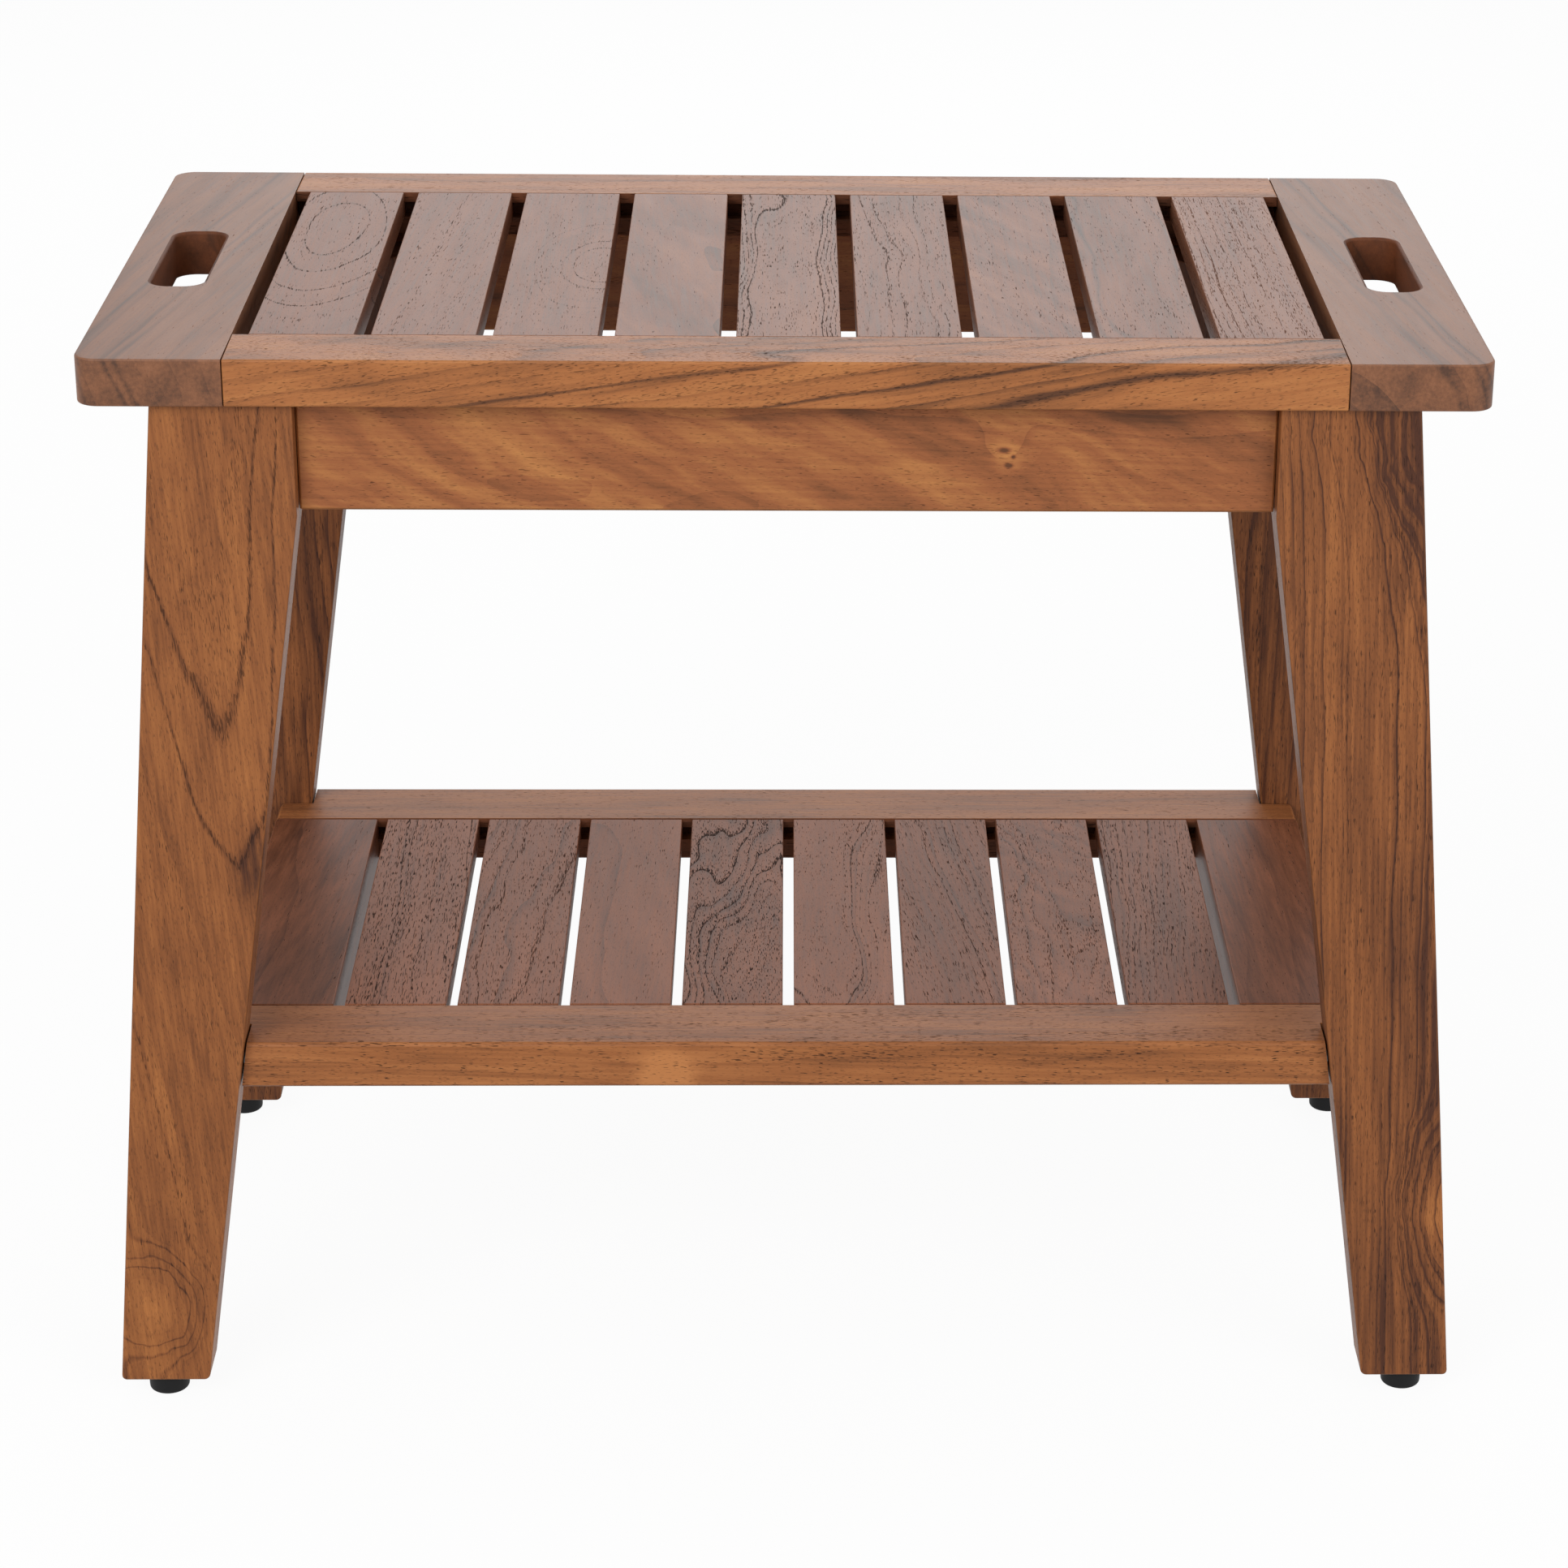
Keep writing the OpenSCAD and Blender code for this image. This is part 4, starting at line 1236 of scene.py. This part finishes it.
@dataclass
class Feet(Assembly):
    """The four moulded rubber feet."""

    base_diameter: float = 18.6 * MM
    bore_diameter: float = 9.6 * MM
    shank_diameter: float = 4.7 * MM
    seat_height: float = 6.0 * MM
    base_round: float = 1.5 * MM
    base_segments: int = 5
    bead: float = 0.5 * MM
    steps: int = 56

    def build(self) -> None:
        """Builds and dresses the feet."""
        rubber = BLACK_RUBBER.material()
        for end, side in CORNERS:
            node = f"foot_{end}_{side}"
            self.place(self.foot(node), node, [rubber], "foot_rubber", f"{node}_rubber")

    def foot(self, node: str) -> Blank:
        """Spins a foot: a tapered plug with a bead round its top and a bore for its screw.

        Args:
            node: Name of the foot's solid.

        Returns:
            The shaped foot.
        """
        low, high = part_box(node)
        centre = Vector(((low.x + high.x) / 2, (low.y + high.y) / 2, 0))
        top_r = (high.x - low.x) / 2
        height = high.z - low.z
        section = [
            (self.bore_diameter / 2, 0),
            (self.base_diameter / 2, 0),
            (top_r - self.bead, height - 3 * self.bead),
            (top_r, height - 2 * self.bead),
            (top_r, height),
            (self.shank_diameter / 2, height),
            (self.shank_diameter / 2, self.seat_height),
            (self.bore_diameter / 2, self.seat_height),
        ]
        blank = Blank()
        mesh = blank.mesh
        face = blank.outline(centre + Vector((r, 0, low.z + z)) for r, z in section)
        blank.round_corners([face.verts[1]], self.base_round, self.base_segments)
        ring = mesh.faces[:][0]
        turned = [*mesh.verts, *ring.edges]
        bmesh.ops.delete(mesh, geom=[ring], context="FACES_ONLY")
        turn = {"axis": (0, 0, 1), "angle": math.tau, "steps": self.steps, "use_merge": True}
        bmesh.ops.spin(mesh, geom=turned, cent=centre, **turn)
        bmesh.ops.remove_doubles(mesh, verts=mesh.verts, dist=blank.MERGED)
        bmesh.ops.recalc_face_normals(mesh, faces=mesh.faces)
        return blank


@dataclass
class Hardware(Assembly):
    """The steel and the dowels that hold the bench together. They keep their solids."""

    steel: tuple[str, ...] = (
        "foot_washers", "foot_screws", "block_screws", "seat_screws", "shelf_bolts", "shelf_barrel_nuts",
    )
    dowels: tuple[tuple[str, Lay], ...] = (
        ("seat_rail_dowels", Lay.RAIL),
        ("apron_dowels", Lay.RAIL),
        ("side_apron_dowels", Lay.SLAT),
        ("seat_leg_dowels", Lay.LEG),
    )

    def build(self) -> None:
        """Dresses the fasteners and the dowels."""
        zinc = ZINC_STEEL.material()
        finishes = {node: zinc for node in self.steel}
        for node, lay in self.dowels:
            finishes[node] = BEECH.material(node, Vector(), lay, DOWEL_CUT)
        for node, material in finishes.items():
            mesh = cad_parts[node].data
            mesh.materials.clear()
            mesh.materials.append(material)
            log.info("%s: %s dressed", self.name, node)


@dataclass
class Studio:
    """A plain pale floor, soft light and the camera.

    Each lamp has its name, its place, the side of its softbox and its power in watts.
    """

    target: tuple[float, float, float] = (0.0, 0.0, 0.3)
    floor_size: float = 40.0
    floor_colour: str = "#ffffff"
    floor_bounce: str = "#a8a8a8"
    floor_glow: float = 0.93
    ambient: float = 0.5
    camera_place: tuple[float, float, float] = (0.0, -1.854, 1.011)
    camera_yaw: float = 0.03622
    camera_pitch: float = 0.3955
    camera_roll: float = 0.01455
    lens: float = 94.0
    sensor: float = 36.0
    shift: tuple[float, float] = (-0.0901, 0.0163)
    lamps: tuple[tuple[str, tuple[float, float, float], float, float], ...] = (
        ("key_softbox", (-1.4, -2.5, 1.7), 1.8, 50.0),
        ("fill_softbox", (1.9, -2.2, 1.2), 1.8, 30.0),
        ("back_softbox", (0.1, 2.7, 1.7), 1.8, 15.5),
    )

    def build(self) -> None:
        """Builds the floor, the lights and the camera."""
        self.add_world()
        self.add_floor()
        for lamp in self.lamps:
            self.add_lamp(*lamp)
        self.add_camera()
        log.info("studio: floor, world, %d lamps and camera", len(self.lamps))

    def seen_directly(self, tree: NodeTree) -> NodeSocket:
        """Tells the camera, reflections and refractions apart from other light.

        Args:
            tree: Node tree that asks.

        Returns:
            1 where one of them looks, and 0 for other light.
        """
        seen = 0.0
        for ray in ("Is Camera Ray", "Is Glossy Ray", "Is Transmission Ray"):
            kind = add_node(tree, "LightPath", out=ray)
            seen = add_node(tree, "Math MAXIMUM", (kind, seen))
        return seen

    def add_world(self) -> None:
        """Makes a world that is white to the eye and softer as a light."""
        world = bpy.data.worlds.new("studio_world")
        bpy.context.scene.world = world
        world.use_nodes = True
        world.node_tree.nodes.clear()
        add = partial(add_node, world.node_tree)
        light = add("Background", (WHITE, self.ambient))
        backdrop = add("Background", (WHITE, 1.0))
        mixed = add("MixShader", (self.seen_directly(world.node_tree), light, backdrop))
        add("OutputWorld", (mixed,))

    def add_floor(self) -> None:
        """Lays the floor, which is near white and keeps a faint shadow."""
        mesh = bmesh.new()
        bmesh.ops.create_grid(mesh, x_segments=1, y_segments=1, size=self.floor_size / 2)
        data = bpy.data.meshes.new("floor")
        mesh.to_mesh(data)
        mesh.free()
        floor = bpy.data.objects.new("floor", data)
        bpy.context.scene.collection.objects.link(floor)
        material, tree = new_material("matt_white_floor")
        add = partial(add_node, tree)
        seen = self.seen_directly(tree)
        shades = {0: seen, 6: linear(self.floor_bounce), 7: linear(self.floor_colour)}
        matt = add("BsdfDiffuse", (add("Mix", shades, out=2, data_type="RGBA"),))
        glow = add("Emission", {"Strength": 1.0})
        share = add("Math MULTIPLY", (seen, self.floor_glow))
        add("OutputMaterial", (add("MixShader", (share, matt, glow)),))
        data.materials.append(material)

    def add_lamp(self, name: str, place: tuple[float, float, float], size: float, power: float) -> None:
        """Hangs one square softbox that faces the bench.

        Args:
            name: Name of the lamp.
            place: Where it hangs.
            size: Side of the softbox.
            power: Its power in watts.
        """
        light = bpy.data.lights.new(name, "AREA")
        light.shape = "SQUARE"
        light.size = size
        light.energy = power
        lamp = bpy.data.objects.new(name, light)
        lamp.location = place
        lamp.rotation_euler = (Vector(self.target) - Vector(place)).to_track_quat("-Z", "Y").to_euler()
        bpy.context.scene.collection.objects.link(lamp)

    def add_camera(self) -> None:
        """Sets the camera where the bench is seen from the front and a little above."""
        yaw, pitch, roll = self.camera_yaw, self.camera_pitch, self.camera_roll
        level = math.cos(pitch)
        ahead = Vector((math.sin(yaw) * level, math.cos(yaw) * level, -math.sin(pitch)))
        aside = Vector((math.cos(yaw), -math.sin(yaw), 0))
        above = aside.cross(ahead)
        right = math.cos(roll) * aside + math.sin(roll) * above
        up = math.cos(roll) * above - math.sin(roll) * aside
        data = bpy.data.cameras.new("camera")
        data.lens = self.lens
        data.sensor_width = self.sensor
        data.shift_x, data.shift_y = self.shift
        camera = bpy.data.objects.new("camera", data)
        turn = Matrix((right, up, -ahead)).transposed().to_4x4()
        camera.matrix_world = Matrix.Translation(self.camera_place) @ turn
        bpy.context.scene.collection.objects.link(camera)
        bpy.context.scene.camera = camera


def main() -> None:
    """Builds the bench's pieces in order, then the studio."""
    logging.basicConfig(level=logging.INFO, format="%(name)s %(message)s")
    bpy.context.scene.view_settings.view_transform = "Standard"
    assemblies = [
        Seat("seat"),
        Legs("legs"),
        Aprons("aprons"),
        Shelf("shelf"),
        Feet("feet"),
        Hardware("hardware"),
    ]
    for assembly in assemblies:
        assembly.build()
    Studio().build()


if __name__ == "__main__":
    main()
